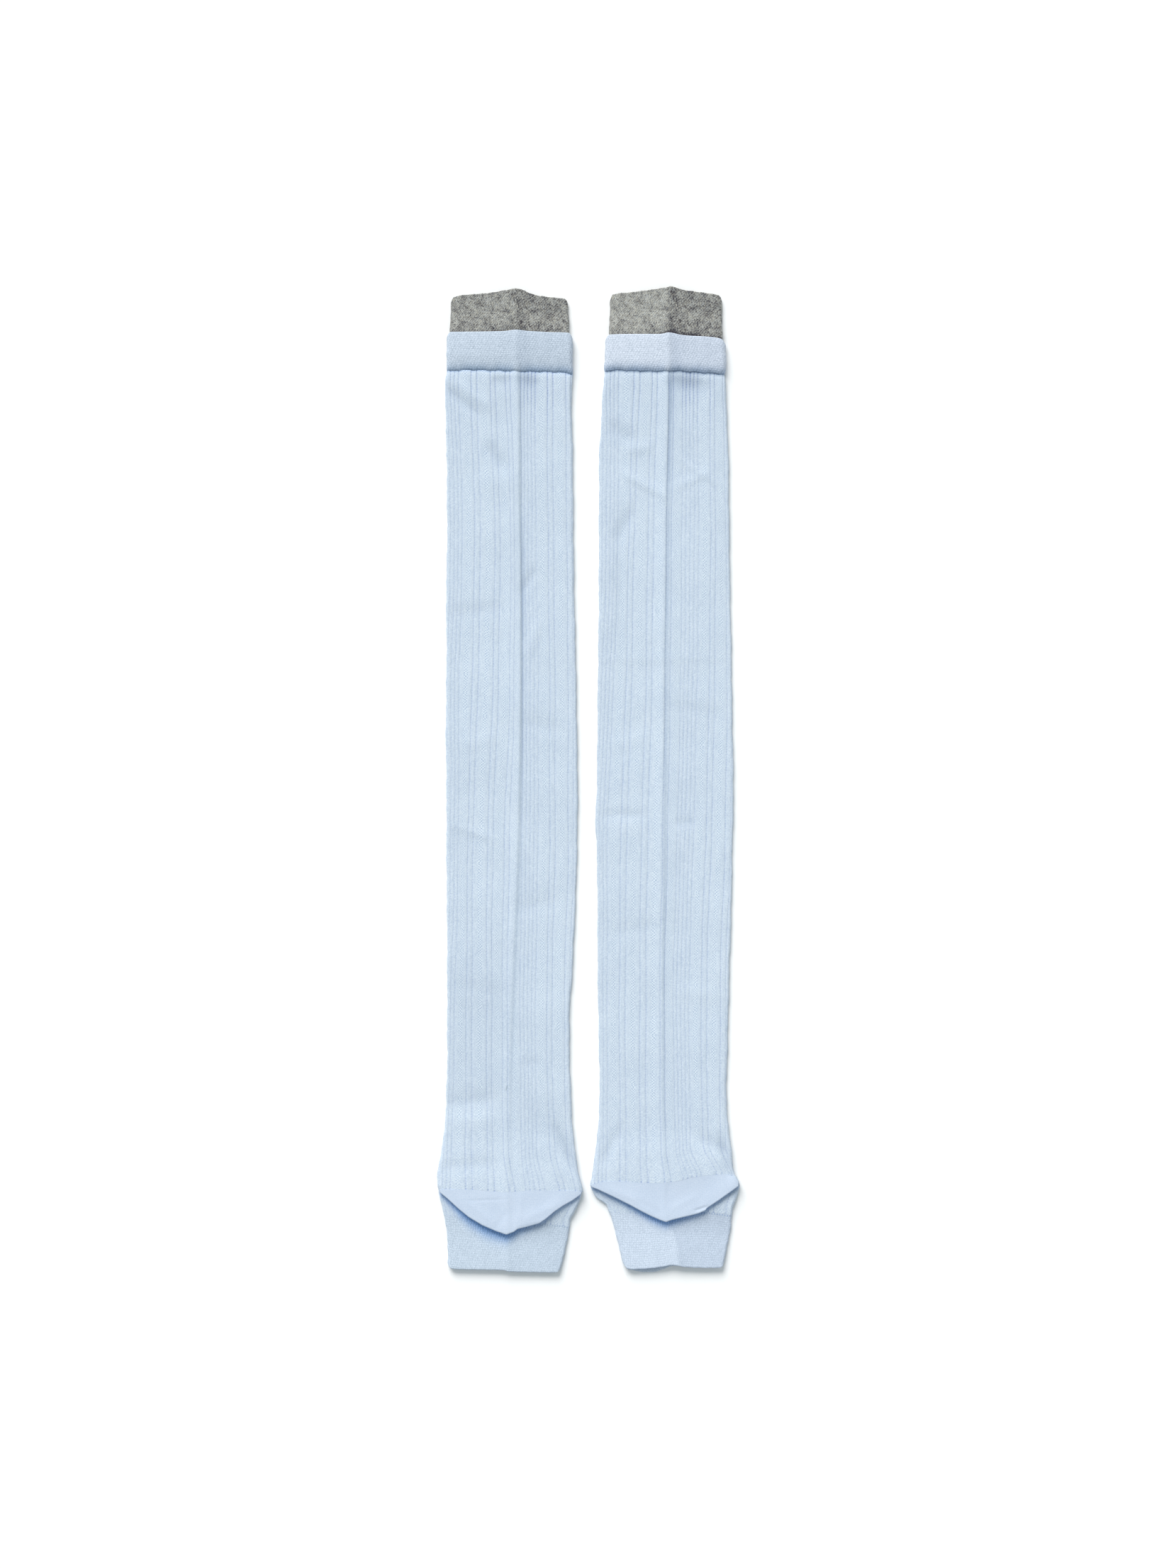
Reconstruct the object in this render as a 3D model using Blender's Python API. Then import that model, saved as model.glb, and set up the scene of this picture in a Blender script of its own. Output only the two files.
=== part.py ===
"""Pair of open-toe knee socks, laid flat side by side with the back of the leg up.

Frame: X across the pair, Y along the legs with the cuffs at +Y, Z up. The socks rest on z = 0
and the origin is under the middle of the pair.

Each sock is six knitted pieces, from the top down: an inner cuff sewn inside the top band, the
band, the leg, the heel pocket folded flat into a pointed flap, the foot that runs on under that
flap, and the band round the open toe. Every piece is a wall of cloth of even thickness. The
tubes are pressed flat, so each has a lower layer on the surface, an upper layer on top of it
and a rounded fold down each side.

The tables are in millimetres. Y is measured from the middle of the pair, up the leg.
"""
import math

import bpy

MM = 0.001

# ---------------------------------------------------------------- driving dimensions (mm)
SEAM_GAP = 0.3          # space between two pieces that are knitted or sewn together
LEG_WALL = 1.0          # rib knit
BAND_WALL = 1.2         # doubled welt at the top of the leg
CUFF_WALL = 1.0         # elastic inner cuff
TOE_WALL = 1.1          # welt round the toe
LEG_HEIGHT = 2.6        # two layers of leg and the air between them
FOOT_HEIGHT = 2.3       # two layers of foot, pressed by the heel flap
TOE_HEIGHT = 2.5        # two layers of toe band where the heel flap lies on it
CUFF_HEIGHT = 2.3       # two layers of inner cuff
BAND_HEIGHT = 5.3       # two layers of band with the inner cuff between them
CUFF_LIFT = 1.5         # height of the cuff's underside where the band holds it
CUFF_HIDDEN = 2.0       # how far above the band's seam the cuff's sewn end lies
HEEL_LOW = 2.8          # underside of the heel flap, clear of the foot and the toe band
HEEL_HIGH = 5.1         # top of the heel flap
HEEL_BEND = 1.5         # length of the rounded fold along the flap's edge
CREASE_HEIGHT = 1.2     # how far the pressed crease stands up along the back of the leg
CREASE_WIDTH = 1.9      # half width of that crease

SIDE_STEPS = (0, 35, 65, 90)                # degrees round a side fold
TOP_STEPS = (0.12, 0.25, 0.5, 0.75, 0.88)   # across the upper layer
CREASE_STEPS = (-2.6, -1.1, 0.0, 1.1, 2.6)  # across the crease itself
LOW_STEPS = (0.75, 0.5, 0.25)               # back across the lower layer


def table(columns, *rows):
    """A short table: one dict per row, with the named columns."""
    names = columns.split()
    return [dict(zip(names, row)) for row in rows]


# ---------------------------------------------------------------- leg, foot and toe outlines
# y: station, left and right: side folds, crease: where the pressed crease runs, puff: how much
# higher than its own height the piece stands there, ridge: share of the crease's height.
LEG = {
    "left": table(
        "y      left   right  crease puff  ridge",
        (231.0, -80.0, -8.9, -40.5, 2.4, 0.5),
        (226.0, -80.2, -8.9, -40.4, 1.2, 0.7),
        (215.0, -80.9, -9.6, -39.6, 0.3, 1.0),
        (184.0, -80.1, -8.9, -38.5, 0.0, 1.0),
        (136.0, -79.8, -8.5, -38.1, 0.0, 1.0),
        (72.0, -80.1, -7.4, -38.0, 0.0, 1.0),
        (16.0, -80.4, -6.4, -39.2, 0.0, 1.0),
        (-40.0, -80.1, -6.5, -41.0, 0.0, 1.0),
        (-104.0, -79.8, -8.9, -43.5, 0.0, 0.9),
        (-160.0, -79.8, -10.4, -45.2, 0.0, 0.8),
        (-186.0, -80.6, -9.5, -45.6, 0.2, 0.7),
        (-206.0, -82.4, -7.8, -45.7, 0.9, 0.6),
        (-219.0, -84.6, -5.7, -45.7, 1.8, 0.5),
        (-226.0, -85.6, -3.9, -45.7, 2.3, 0.4),
        (-232.0, -85.3, -3.0, -45.7, 2.5, 0.4)),
    "right": table(
        "y      left   right  crease puff  ridge",
        (231.0, 9.2, 76.6, 45.1, 2.4, 0.5),
        (226.0, 8.7, 77.4, 45.1, 1.2, 0.7),
        (215.0, 7.9, 77.6, 45.1, 0.3, 1.0),
        (184.0, 6.0, 79.0, 44.4, 0.0, 1.0),
        (136.0, 5.8, 79.5, 43.9, 0.0, 1.0),
        (72.0, 5.4, 80.5, 43.2, 0.0, 1.0),
        (16.0, 4.9, 81.2, 43.0, 0.0, 1.0),
        (-40.0, 4.7, 81.1, 42.6, 0.0, 1.0),
        (-104.0, 5.2, 80.0, 42.2, 0.0, 0.9),
        (-160.0, 6.0, 77.6, 42.0, 0.0, 0.8),
        (-184.0, 6.0, 77.9, 42.0, 0.2, 0.7),
        (-203.0, 4.4, 79.8, 42.1, 0.9, 0.6),
        (-215.0, 2.9, 81.6, 42.4, 1.8, 0.5),
        (-222.0, 2.0, 82.9, 42.6, 2.3, 0.4),
        (-228.0, 1.0, 85.4, 42.8, 2.5, 0.4)),
}
FOOT = {
    "left": table(
        "y       left   right  crease",
        (-228.0, -84.7, -3.3, -45.6),
        (-240.0, -82.5, -5.9, -45.6),
        (-247.0, -81.3, -8.8, -45.5),
        (-253.0, -80.4, -10.4, -45.5)),
    "right": table(
        "y       left   right  crease",
        (-220.0, 1.4, 85.2, 43.5),
        (-229.5, 1.6, 85.1, 44.6),
        (-236.0, 6.8, 84.4, 46.6),
        (-241.0, 10.4, 82.6, 48.4),
        (-246.0, 12.3, 81.4, 49.6)),
}
TOE = {
    "left": table(
        "y       left   right  crease puff  ridge",
        (-245.0, -81.0, -10.2, -45.5, 0.0, 0.0),
        (-254.0, -80.1, -10.6, -45.5, 0.0, 0.0),
        (-262.0, -79.4, -11.7, -45.4, 0.2, 0.3),
        (-270.0, -79.3, -13.5, -45.2, 0.4, 0.3),
        (-278.0, -79.5, -16.8, -44.9, 0.5, 0.3)),
    "right": table(
        "y       left   right  crease puff  ridge",
        (-243.0, 11.8, 81.8, 49.2, 0.0, 0.0),
        (-252.0, 14.3, 80.4, 50.1, 0.0, 0.0),
        (-260.0, 16.2, 79.0, 50.5, 0.3, 0.3),
        (-268.0, 17.7, 77.7, 50.8, 0.7, 0.3),
        (-274.0, 20.2, 76.4, 50.9, 0.9, 0.3),
        (-278.0, 23.2, 75.6, 50.9, 0.9, 0.3)),
}
BAND = {
    "left": table(
        "y      left   right  crease ridge",
        (254.0, -79.8, -9.3, -40.6, 0.4),
        (249.0, -80.1, -9.0, -40.6, 0.5),
        (234.0, -80.1, -8.8, -40.5, 0.5),
        (228.0, -79.9, -9.0, -40.5, 0.5)),
    "right": table(
        "y      left   right  crease ridge",
        (252.0, 10.0, 76.3, 44.2, 0.4),
        (246.0, 9.8, 77.2, 44.1, 0.5),
        (234.0, 8.9, 77.4, 44.2, 0.5),
        (228.0, 9.2, 77.1, 44.6, 0.5)),
}
# lift: share of the cuff's lift, which it loses past the band.
CUFF = {
    "left": table(
        "y      left   right  crease ridge lift",
        (277.0, -77.4, -10.5, -41.4, 0.5, 0.0),
        (268.0, -77.6, -10.3, -41.3, 0.4, 0.1),
        (261.0, -77.7, -10.3, -41.1, 0.3, 0.55),
        (254.5, -77.8, -10.5, -41.0, 0.2, 1.0),
        (230.0, -78.2, -10.8, -40.5, 0.2, 1.0)),
    "right": table(
        "y      left   right  crease ridge lift",
        (277.0, 12.3, 74.8, 46.4, 0.5, 0.0),
        (267.0, 12.0, 75.6, 45.8, 0.4, 0.1),
        (260.0, 11.7, 76.0, 45.4, 0.3, 0.55),
        (253.0, 11.5, 75.7, 44.9, 0.2, 1.0),
        (230.0, 10.9, 75.4, 44.6, 0.2, 1.0)),
}

# ---------------------------------------------------------------- edges across a sock
# y of each edge at the left side fold, a quarter, half and three quarters across, and at
# the right side fold.
EDGES = {
    "left": table(
        "edge          a      b      c      d      e",
        ("cuff_end", 270.6, 274.0, 276.6, 273.4, 270.4),
        ("band_top", 252.2, 252.9, 253.3, 252.4, 251.4),
        ("band_seam", 230.9, 230.6, 230.2, 229.5, 228.8),
        ("heel_line", -230.9, -231.7, -232.3, -231.5, -232.1),
        ("toe_seam", -245.7, -247.0, -248.6, -250.6, -252.2),
        ("toe_end", -275.0, -275.8, -276.5, -277.1, -277.6),
        ("toe_end_low", -275.0, -275.8, -276.5, -277.1, -277.6)),
    "right": table(
        "edge          a      b      c      d      e",
        ("cuff_end", 273.3, 275.9, 277.9, 275.2, 272.8),
        ("band_top", 250.6, 251.3, 251.4, 249.6, 247.6),
        ("band_seam", 230.8, 230.4, 230.1, 229.4, 228.7),
        ("heel_line", -228.2, -226.9, -226.9, -223.4, -228.0),
        ("toe_seam", -244.0, -244.8, -244.6, -243.8, -245.6),
        ("toe_end", -276.2, -275.6, -273.6, -275.1, -274.9),
        ("toe_end_low", -277.4, -277.9, -274.6, -275.1, -274.9)),
}

# ---------------------------------------------------------------- heel flap's folded edge
HEEL_EDGE = {
    "left": table(
        "x       y",
        (-84.5, -231.9),
        (-72.9, -242.1),
        (-59.8, -251.1),
        (-46.3, -256.3),
        (-39.0, -253.0),
        (-26.6, -249.4),
        (-14.1, -240.0),
        (-4.1, -232.9)),
    "right": table(
        "x       y",
        (1.1, -228.9),
        (14.6, -235.3),
        (35.1, -245.9),
        (43.6, -249.1),
        (52.7, -246.7),
        (65.6, -242.9),
        (79.1, -232.9),
        (84.4, -228.6)),
}
HEEL_COLUMNS = 16       # columns of cloth across the flap
HEEL_SIDE = 2.4         # how far in from the flap's corners the cloth starts

# ---------------------------------------------------------------- colours (linear) and finish
FINISHES = {
    "inner_cuff": ((0.300, 0.303, 0.298), 0.95),
    "top_band": ((0.585, 0.687, 0.791), 0.90),
    "leg": ((0.591, 0.701, 0.814), 0.90),
    "heel": ((0.624, 0.738, 0.871), 0.88),
    "foot": ((0.591, 0.701, 0.814), 0.90),
    "toe_band": ((0.585, 0.687, 0.791), 0.90),
}


def between(rows, key, y):
    """A column of an outline table at station y, in straight runs between its rows, or 0 if
    the table has no such column."""
    if key not in rows[0]:
        return 0.0
    if y >= rows[0]["y"]:
        return rows[0][key]
    for upper, lower in zip(rows, rows[1:]):
        if y >= lower["y"]:
            share = (upper["y"] - y) / (upper["y"] - lower["y"])
            return upper[key] + (lower[key] - upper[key]) * share
    return rows[-1][key]


def edge_at(side, name, s):
    """y of a named edge at the share s of the way across the sock."""
    row = next(r for r in EDGES[side] if r["edge"] == name)
    values = [row[k] for k in "abcde"]
    place = min(max(s, 0.0), 1.0) * 4.0
    index = min(int(place), 3)
    return values[index] + (values[index + 1] - values[index]) * (place - index)


def mesh_object(name, finish, points, faces):
    """A named object from points in millimetres, smooth shaded, with its own material."""
    mesh = bpy.data.meshes.new(name)
    mesh.from_pydata([(x * MM, y * MM, z * MM) for x, y, z in points], [], faces)
    mesh.update()
    material = bpy.data.materials.new(name)
    material.use_nodes = True
    shader = material.node_tree.nodes["Principled BSDF"]
    colour, roughness = FINISHES[finish]
    shader.inputs["Base Color"].default_value = (*colour, 1.0)
    shader.inputs["Roughness"].default_value = roughness
    shader.inputs["Metallic"].default_value = 0.0
    mesh.materials.append(material)
    mesh.shade_smooth()
    mesh.set_sharp_from_angle(angle=math.radians(50))
    thing = bpy.data.objects.new(name, mesh)
    bpy.context.scene.collection.objects.link(thing)
    return thing


def ring(left, right, low, height, crease, crease_height, wall):
    """One turn round a flattened tube: (x, z) outside, (x, z) inside, and how far up the
    side fold the point lies, 0 on the lower layer and 1 on the upper."""
    radius = height / 2.0
    inner = radius - wall
    turn = []
    for degrees in SIDE_STEPS:
        turn.append((left + radius, -1, degrees))
    across = [left + (right - left) * step for step in TOP_STEPS]
    across += [crease + step for step in CREASE_STEPS]
    turn += [(x, 0, "top") for x in sorted(across)]
    for degrees in reversed(SIDE_STEPS):
        turn.append((right - radius, 1, degrees))
    for degrees in SIDE_STEPS[1:]:
        turn.append((right - radius, 1, -degrees))
    for step in LOW_STEPS:
        turn.append((left + (right - left) * step, 0, "low"))
    for degrees in reversed(SIDE_STEPS[1:]):
        turn.append((left + radius, -1, -degrees))

    outside, inside, up = [], [], []
    for x, hand, where in turn:
        if where == "top":
            rise = crease_height * math.exp(-((x - crease) / CREASE_WIDTH) ** 2)
            outside.append((x, low + height + rise))
            inside.append((x, low + height - wall + rise))
            up.append(1.0)
        elif where == "low":
            outside.append((x, low))
            inside.append((x, low + wall))
            up.append(0.0)
        else:
            angle = math.radians(where)
            outside.append((x + hand * radius * math.cos(angle),
                            low + radius + radius * math.sin(angle)))
            inside.append((x + hand * inner * math.cos(angle),
                           low + radius + inner * math.sin(angle)))
            up.append((1.0 + math.sin(angle)) / 2.0)
    return outside, inside, up


def flat_tube(side, piece, outline, start, end, wall, height,
              start_gap=0.0, end_gap=0.0, end_low=None):
    """A tube of cloth pressed flat, open at both ends, from one edge to another."""
    first = edge_at(side, start, 0.5) - start_gap
    last = edge_at(side, end, 0.5) + end_gap
    stations = [r["y"] for r in outline if last + 1.0 < r["y"] < first - 1.0]
    shares = [0.0] + [(first - y) / (first - last) for y in stations] + [1.0]
    points, turns = [], []
    for share in shares:
        def y_at(s, up=1.0):
            top = edge_at(side, start, s) - start_gap
            foot = edge_at(side, end, s) + end_gap
            if end_low:
                foot_low = edge_at(side, end_low, s) + end_gap
                foot = foot_low + (foot - foot_low) * up
            return top + (foot - top) * share
        middle = y_at(0.5)
        left = between(outline, "left", y_at(0.0))
        right = between(outline, "right", y_at(1.0))
        outside, inside, up = ring(
            left, right, CUFF_LIFT * between(outline, "lift", middle),
            height + between(outline, "puff", middle), between(outline, "crease", middle),
            CREASE_HEIGHT * between(outline, "ridge", middle), wall)
        indices = []
        for loop in (outside, inside):
            for (x, z), rise in zip(loop, up):
                s = (x - left) / (right - left)
                indices.append(len(points))
                points.append((x, y_at(s, rise), z))
        turns.append(indices)
    count = len(turns[0]) // 2
    faces = []
    for upper, lower in zip(turns, turns[1:]):
        for k in range(count):
            n = (k + 1) % count
            faces.append((upper[n], upper[k], lower[k], lower[n]))
            faces.append((upper[count + k], upper[count + n],
                          lower[count + n], lower[count + k]))
    for indices, flip in ((turns[0], True), (turns[-1], False)):
        for k in range(count):
            n = (k + 1) % count
            rim = (indices[k], indices[count + k], indices[count + n], indices[n])
            faces.append(rim[::-1] if flip else rim)
    return mesh_object(f"{side}_{piece}", piece, points, faces)


def heel_flap(side, wall):
    """The heel pocket folded flat: its upper and lower panels meet in the flap's edge."""
    edge = HEEL_EDGE[side]
    outline = LEG[side]
    ridge = CREASE_HEIGHT * outline[-1]["ridge"]

    def fold_at(x):
        for a, b in zip(edge, edge[1:]):
            if x <= b["x"]:
                return a["y"] + (b["y"] - a["y"]) * (x - a["x"]) / (b["x"] - a["x"])
        return edge[-1]["y"]

    left, right = outline[-1]["left"], outline[-1]["right"]
    crease = outline[-1]["crease"]
    columns = [edge[0]["x"] + HEEL_SIDE, edge[-1]["x"] - HEEL_SIDE]
    columns += [left + (right - left) * i / HEEL_COLUMNS for i in range(1, HEEL_COLUMNS)]
    if min(abs(x - crease) for x in columns) > 1.0:
        columns.append(crease)
    columns.sort()
    radius = (HEEL_HIGH - HEEL_LOW) / 2.0
    middle = HEEL_LOW + radius
    points, paths = [], []
    for x in columns:
        lip = edge_at(side, "heel_line", (x - left) / (right - left)) - SEAM_GAP / 2.0
        fold = fold_at(x)
        bend = min(HEEL_BEND, 0.85 * (lip - fold))
        rise = ridge * math.exp(-((x - crease) / CREASE_WIDTH) ** 2)
        path = []
        for offset in (0.0, wall):
            reach = max(bend - offset, 0.15)
            turn = radius - offset
            line = [(lip, middle + turn + rise)]
            line.append(((lip + fold + bend) / 2.0, middle + turn + rise))
            for degrees in (90, 50, 0, -50, -90):
                angle = math.radians(degrees)
                line.append((fold + bend - reach * math.cos(angle),
                             middle + turn * math.sin(angle)))
            line.append(((lip + fold + bend) / 2.0, middle - turn))
            line.append((lip, middle - turn))
            path.append([])
            for y, z in line:
                path[-1].append(len(points))
                points.append((x, y, z))
        paths.append(path)
    faces = []
    steps = len(paths[0][0])
    for a, b in zip(paths, paths[1:]):
        for t in range(steps - 1):
            faces.append((a[0][t], a[0][t + 1], b[0][t + 1], b[0][t]))
            faces.append((b[1][t], b[1][t + 1], a[1][t + 1], a[1][t]))
        faces.append((a[0][0], b[0][0], b[1][0], a[1][0]))
        faces.append((b[0][-1], a[0][-1], a[1][-1], b[1][-1]))
    for path, flip in ((paths[0], False), (paths[-1], True)):
        for t in range(steps - 1):
            rim = (path[0][t], path[1][t], path[1][t + 1], path[0][t + 1])
            faces.append(rim[::-1] if flip else rim)
    return mesh_object(f"{side}_heel", "heel", points, faces)


def sock(side):
    """The six pieces of one sock."""
    half = SEAM_GAP / 2.0
    flat_tube(side, "inner_cuff", CUFF[side], "cuff_end", "band_seam", CUFF_WALL, CUFF_HEIGHT,
              end_gap=CUFF_HIDDEN)
    flat_tube(side, "top_band", BAND[side], "band_top", "band_seam", BAND_WALL, BAND_HEIGHT,
              end_gap=half)
    flat_tube(side, "leg", LEG[side], "band_seam", "heel_line", LEG_WALL, LEG_HEIGHT,
              start_gap=half, end_gap=half)
    heel_flap(side, LEG_WALL)
    flat_tube(side, "foot", FOOT[side], "heel_line", "toe_seam", LEG_WALL, FOOT_HEIGHT,
              start_gap=half, end_gap=half)
    flat_tube(side, "toe_band", TOE[side], "toe_seam", "toe_end", TOE_WALL, TOE_HEIGHT,
              start_gap=half, end_low="toe_end_low")


for thing in list(bpy.data.objects):
    bpy.data.objects.remove(thing)
for hand in ("left", "right"):
    sock(hand)
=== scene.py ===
import math

import bpy
import numpy as np
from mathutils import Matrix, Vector


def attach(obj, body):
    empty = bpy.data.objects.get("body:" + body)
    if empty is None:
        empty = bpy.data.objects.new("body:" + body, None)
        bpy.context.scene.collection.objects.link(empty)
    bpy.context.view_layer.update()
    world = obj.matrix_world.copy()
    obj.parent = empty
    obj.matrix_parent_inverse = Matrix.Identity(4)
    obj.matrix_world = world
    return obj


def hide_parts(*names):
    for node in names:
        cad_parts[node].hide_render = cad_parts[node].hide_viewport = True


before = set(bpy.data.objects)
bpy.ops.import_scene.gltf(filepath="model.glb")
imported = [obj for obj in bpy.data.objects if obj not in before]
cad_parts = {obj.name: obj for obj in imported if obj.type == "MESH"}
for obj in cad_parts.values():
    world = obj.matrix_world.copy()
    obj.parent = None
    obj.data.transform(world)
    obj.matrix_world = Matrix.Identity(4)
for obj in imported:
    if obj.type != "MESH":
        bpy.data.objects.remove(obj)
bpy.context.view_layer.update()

MM = 0.001

# ---------------------------------------------------------------- driving dimensions (mm)
LEG_WALL = 1.0
BAND_WALL = 1.2
CUFF_WALL = 1.0
TOE_WALL = 1.1
SEAM = 0.04             # clear space between two pieces at a seam
LINKED = 0.01           # the same where the knitting just runs on
CUFF_HIDDEN = 2.0       # how far above the band's seam the cuff's sewn end lies

# The rib, in millimetres of cloth round the leg from the first of the five narrow ribs.
REPEAT = 48.5
REPEATS = 3
NARROW = (0.0, 2.3, 4.6, 6.9, 9.2)                  # grooves of the five narrow ribs
PAIRED = (16.4, 19.6, 27.4, 30.6, 38.0, 41.2)       # grooves that run in pairs
ZIGZAGS = (12.8, 23.5, 34.3, 44.6)                  # middle of each openwork column
GROOVE_WIDTH = 0.32
NARROW_DEPTH = 0.14
PAIRED_DEPTH = 0.18
GROOVE_TOP = 1.9        # how much deeper the grooves are just under the band
ZIGZAG_WIDTH = 1.2      # half width of an openwork column
ZIGZAG_RUN = 5.2        # how far its slanting stitches run one way before they turn
ZIGZAG_STEP = 1.56      # from one slanting stitch to the next


def table(columns, *rows):
    """A short table: a dict of columns, each an array."""
    names = columns.split()
    return {name: np.array([row[i] for row in rows], float) for i, name in enumerate(names)}


class Curve:
    """A smooth curve through a table's points that doesn't overshoot them."""

    def __init__(self, xs, ys):
        order = np.argsort(xs)
        self.x = np.asarray(xs, float)[order]
        self.y = np.asarray(ys, float)[order]
        step = np.diff(self.x)
        rise = np.diff(self.y) / step
        self.slope = np.empty_like(self.x)
        self.slope[0], self.slope[-1] = rise[0], rise[-1]
        for i in range(1, len(rise)):
            a, b = rise[i - 1], rise[i]
            if a * b <= 0:
                self.slope[i] = 0.0
            else:
                w1 = 2 * step[i] + step[i - 1]
                w2 = step[i] + 2 * step[i - 1]
                self.slope[i] = (w1 + w2) / (w1 / a + w2 / b)

    def __call__(self, x):
        x = np.clip(x, self.x[0], self.x[-1])
        i = np.clip(np.searchsorted(self.x, x) - 1, 0, len(self.x) - 2)
        step = self.x[i + 1] - self.x[i]
        t = (x - self.x[i]) / step
        return (self.y[i] * (1 + 2 * t) * (1 - t) ** 2 + self.slope[i] * step * t * (1 - t) ** 2
                + self.y[i + 1] * t ** 2 * (3 - 2 * t) - self.slope[i + 1] * step * t ** 2 * (1 - t))


def curves(rows, by="y"):
    return {name: Curve(rows[by], values) for name, values in rows.items() if name != by}


def edge(*pairs):
    """y of an edge across a sock, from pairs of share of the width and y."""
    return Curve([p[0] for p in pairs], [p[1] for p in pairs])


# ---------------------------------------------------------------- outlines
# left and right: side folds. height: both layers and what lies between. low: underside.
LEG = {
    "left": table(
        "y       left   right  height",
        (232.0, -80.0, -8.9, 3.2),
        (229.8, -80.1, -8.9, 3.3),
        (228.6, -80.2, -8.9, 3.55),
        (226.5, -80.4, -9.0, 3.65),
        (222.0, -80.8, -9.3, 3.55),
        (216.0, -80.9, -9.7, 3.3),
        (208.0, -80.7, -9.5, 3.0),
        (200.0, -80.5, -9.3, 2.85),
        (184.0, -80.1, -8.9, 2.65),
        (136.0, -79.7, -8.5, 2.6),
        (104.0, -80.3, -8.1, 2.6),
        (72.0, -80.1, -7.3, 2.6),
        (24.0, -80.5, -6.5, 2.6),
        (-8.0, -80.1, -6.1, 2.6),
        (-40.0, -80.1, -6.5, 2.6),
        (-104.0, -79.7, -8.9, 2.6),
        (-136.0, -79.7, -10.7, 2.6),
        (-160.0, -79.8, -10.5, 2.6),
        (-176.0, -80.1, -10.0, 2.7),
        (-192.0, -80.9, -9.2, 2.95),
        (-204.0, -82.1, -8.2, 3.4),
        (-213.0, -83.6, -7.1, 3.95),
        (-219.0, -84.9, -6.1, 4.4),
        (-224.0, -85.7, -5.0, 4.8),
        (-228.0, -85.3, -3.9, 5.0),
        (-231.0, -84.6, -3.2, 5.1),
        (-234.0, -84.2, -2.9, 5.1)),
    "right": table(
        "y       left   right  height",
        (232.0, 9.2, 76.5, 3.2),
        (229.8, 9.1, 76.6, 3.3),
        (228.4, 9.0, 76.9, 3.55),
        (226.5, 8.7, 77.3, 3.65),
        (222.0, 8.3, 77.5, 3.55),
        (216.0, 7.9, 77.6, 3.3),
        (208.0, 7.5, 77.9, 3.0),
        (200.0, 7.1, 78.3, 2.85),
        (184.0, 6.0, 79.0, 2.65),
        (152.0, 5.9, 79.4, 2.6),
        (104.0, 5.8, 79.9, 2.6),
        (72.0, 5.5, 80.6, 2.6),
        (40.0, 5.1, 81.0, 2.6),
        (-8.0, 4.6, 81.8, 2.6),
        (-24.0, 3.9, 81.5, 2.6),
        (-40.0, 4.6, 81.1, 2.6),
        (-72.0, 5.0, 80.6, 2.6),
        (-104.0, 5.1, 79.6, 2.6),
        (-152.0, 5.9, 78.4, 2.6),
        (-174.0, 6.2, 77.8, 2.7),
        (-188.0, 6.0, 78.1, 2.95),
        (-200.0, 4.8, 79.6, 3.4),
        (-209.0, 3.9, 80.7, 3.95),
        (-215.0, 3.2, 81.1, 4.4),
        (-220.0, 2.4, 81.5, 4.8),
        (-224.0, 1.8, 82.9, 5.0),
        (-227.5, 1.0, 85.2, 5.1),
        (-230.0, 0.8, 85.5, 5.1)),
}
FOOT = {
    "left": table(
        "y       left   right  height",
        (-228.0, -84.7, -3.4, 2.3),
        (-232.5, -84.3, -3.6, 2.3),
        (-238.0, -83.3, -5.2, 2.3),
        (-243.4, -81.9, -7.8, 2.3),
        (-248.0, -81.1, -10.0, 2.3),
        (-253.0, -80.4, -10.7, 2.3)),
    "right": table(
        "y       left   right  height",
        (-222.0, 1.0, 85.4, 2.3),
        (-229.0, 1.2, 85.3, 2.3),
        (-232.5, 2.1, 84.8, 2.3),
        (-235.8, 4.3, 83.7, 2.3),
        (-237.6, 6.8, 82.9, 2.3),
        (-239.0, 9.2, 82.4, 2.3),
        (-242.0, 10.9, 81.5, 2.3),
        (-246.0, 12.4, 80.9, 2.3)),
}
TOE = {
    "left": table(
        "y       left   right  height",
        (-245.0, -81.3, -10.1, 2.3),
        (-252.0, -80.5, -10.7, 2.35),
        (-257.0, -79.9, -11.4, 2.45),
        (-264.0, -79.4, -12.7, 2.8),
        (-270.0, -79.2, -14.4, 3.2),
        (-275.0, -79.2, -15.8, 3.5),
        (-278.0, -79.2, -16.6, 3.6)),
    "right": table(
        "y       left   right  height",
        (-243.0, 11.4, 81.1, 2.3),
        (-248.0, 13.2, 80.5, 2.35),
        (-254.0, 15.0, 79.9, 2.45),
        (-260.0, 16.3, 78.8, 2.8),
        (-266.0, 17.6, 77.6, 3.2),
        (-272.0, 19.3, 76.6, 3.6),
        (-275.0, 20.6, 76.1, 3.75),
        (-278.0, 21.6, 75.7, 3.8)),
}
BAND = {
    "left": table(
        "y      left   right  height",
        (254.0, -79.6, -9.3, 4.9),
        (251.0, -79.9, -9.1, 5.2),
        (244.0, -80.1, -8.9, 5.45),
        (240.0, -80.1, -8.8, 5.45),
        (237.0, -80.1, -8.8, 5.25),
        (234.0, -80.1, -8.8, 4.9),
        (232.0, -80.0, -8.8, 4.45),
        (230.8, -79.9, -8.9, 3.9),
        (230.2, -79.9, -8.9, 3.45),
        (228.0, -79.9, -9.0, 3.3)),
    "right": table(
        "y      left   right  height",
        (252.5, 10.0, 76.2, 4.9),
        (249.5, 9.8, 76.9, 5.25),
        (243.0, 9.5, 77.3, 5.5),
        (237.0, 9.0, 77.5, 5.65),
        (234.5, 8.8, 77.6, 5.55),
        (232.6, 8.7, 77.6, 5.2),
        (231.2, 8.8, 77.4, 4.5),
        (230.5, 8.9, 77.3, 3.8),
        (230.0, 9.0, 77.2, 3.35),
        (228.0, 9.1, 77.1, 3.3)),
}
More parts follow.
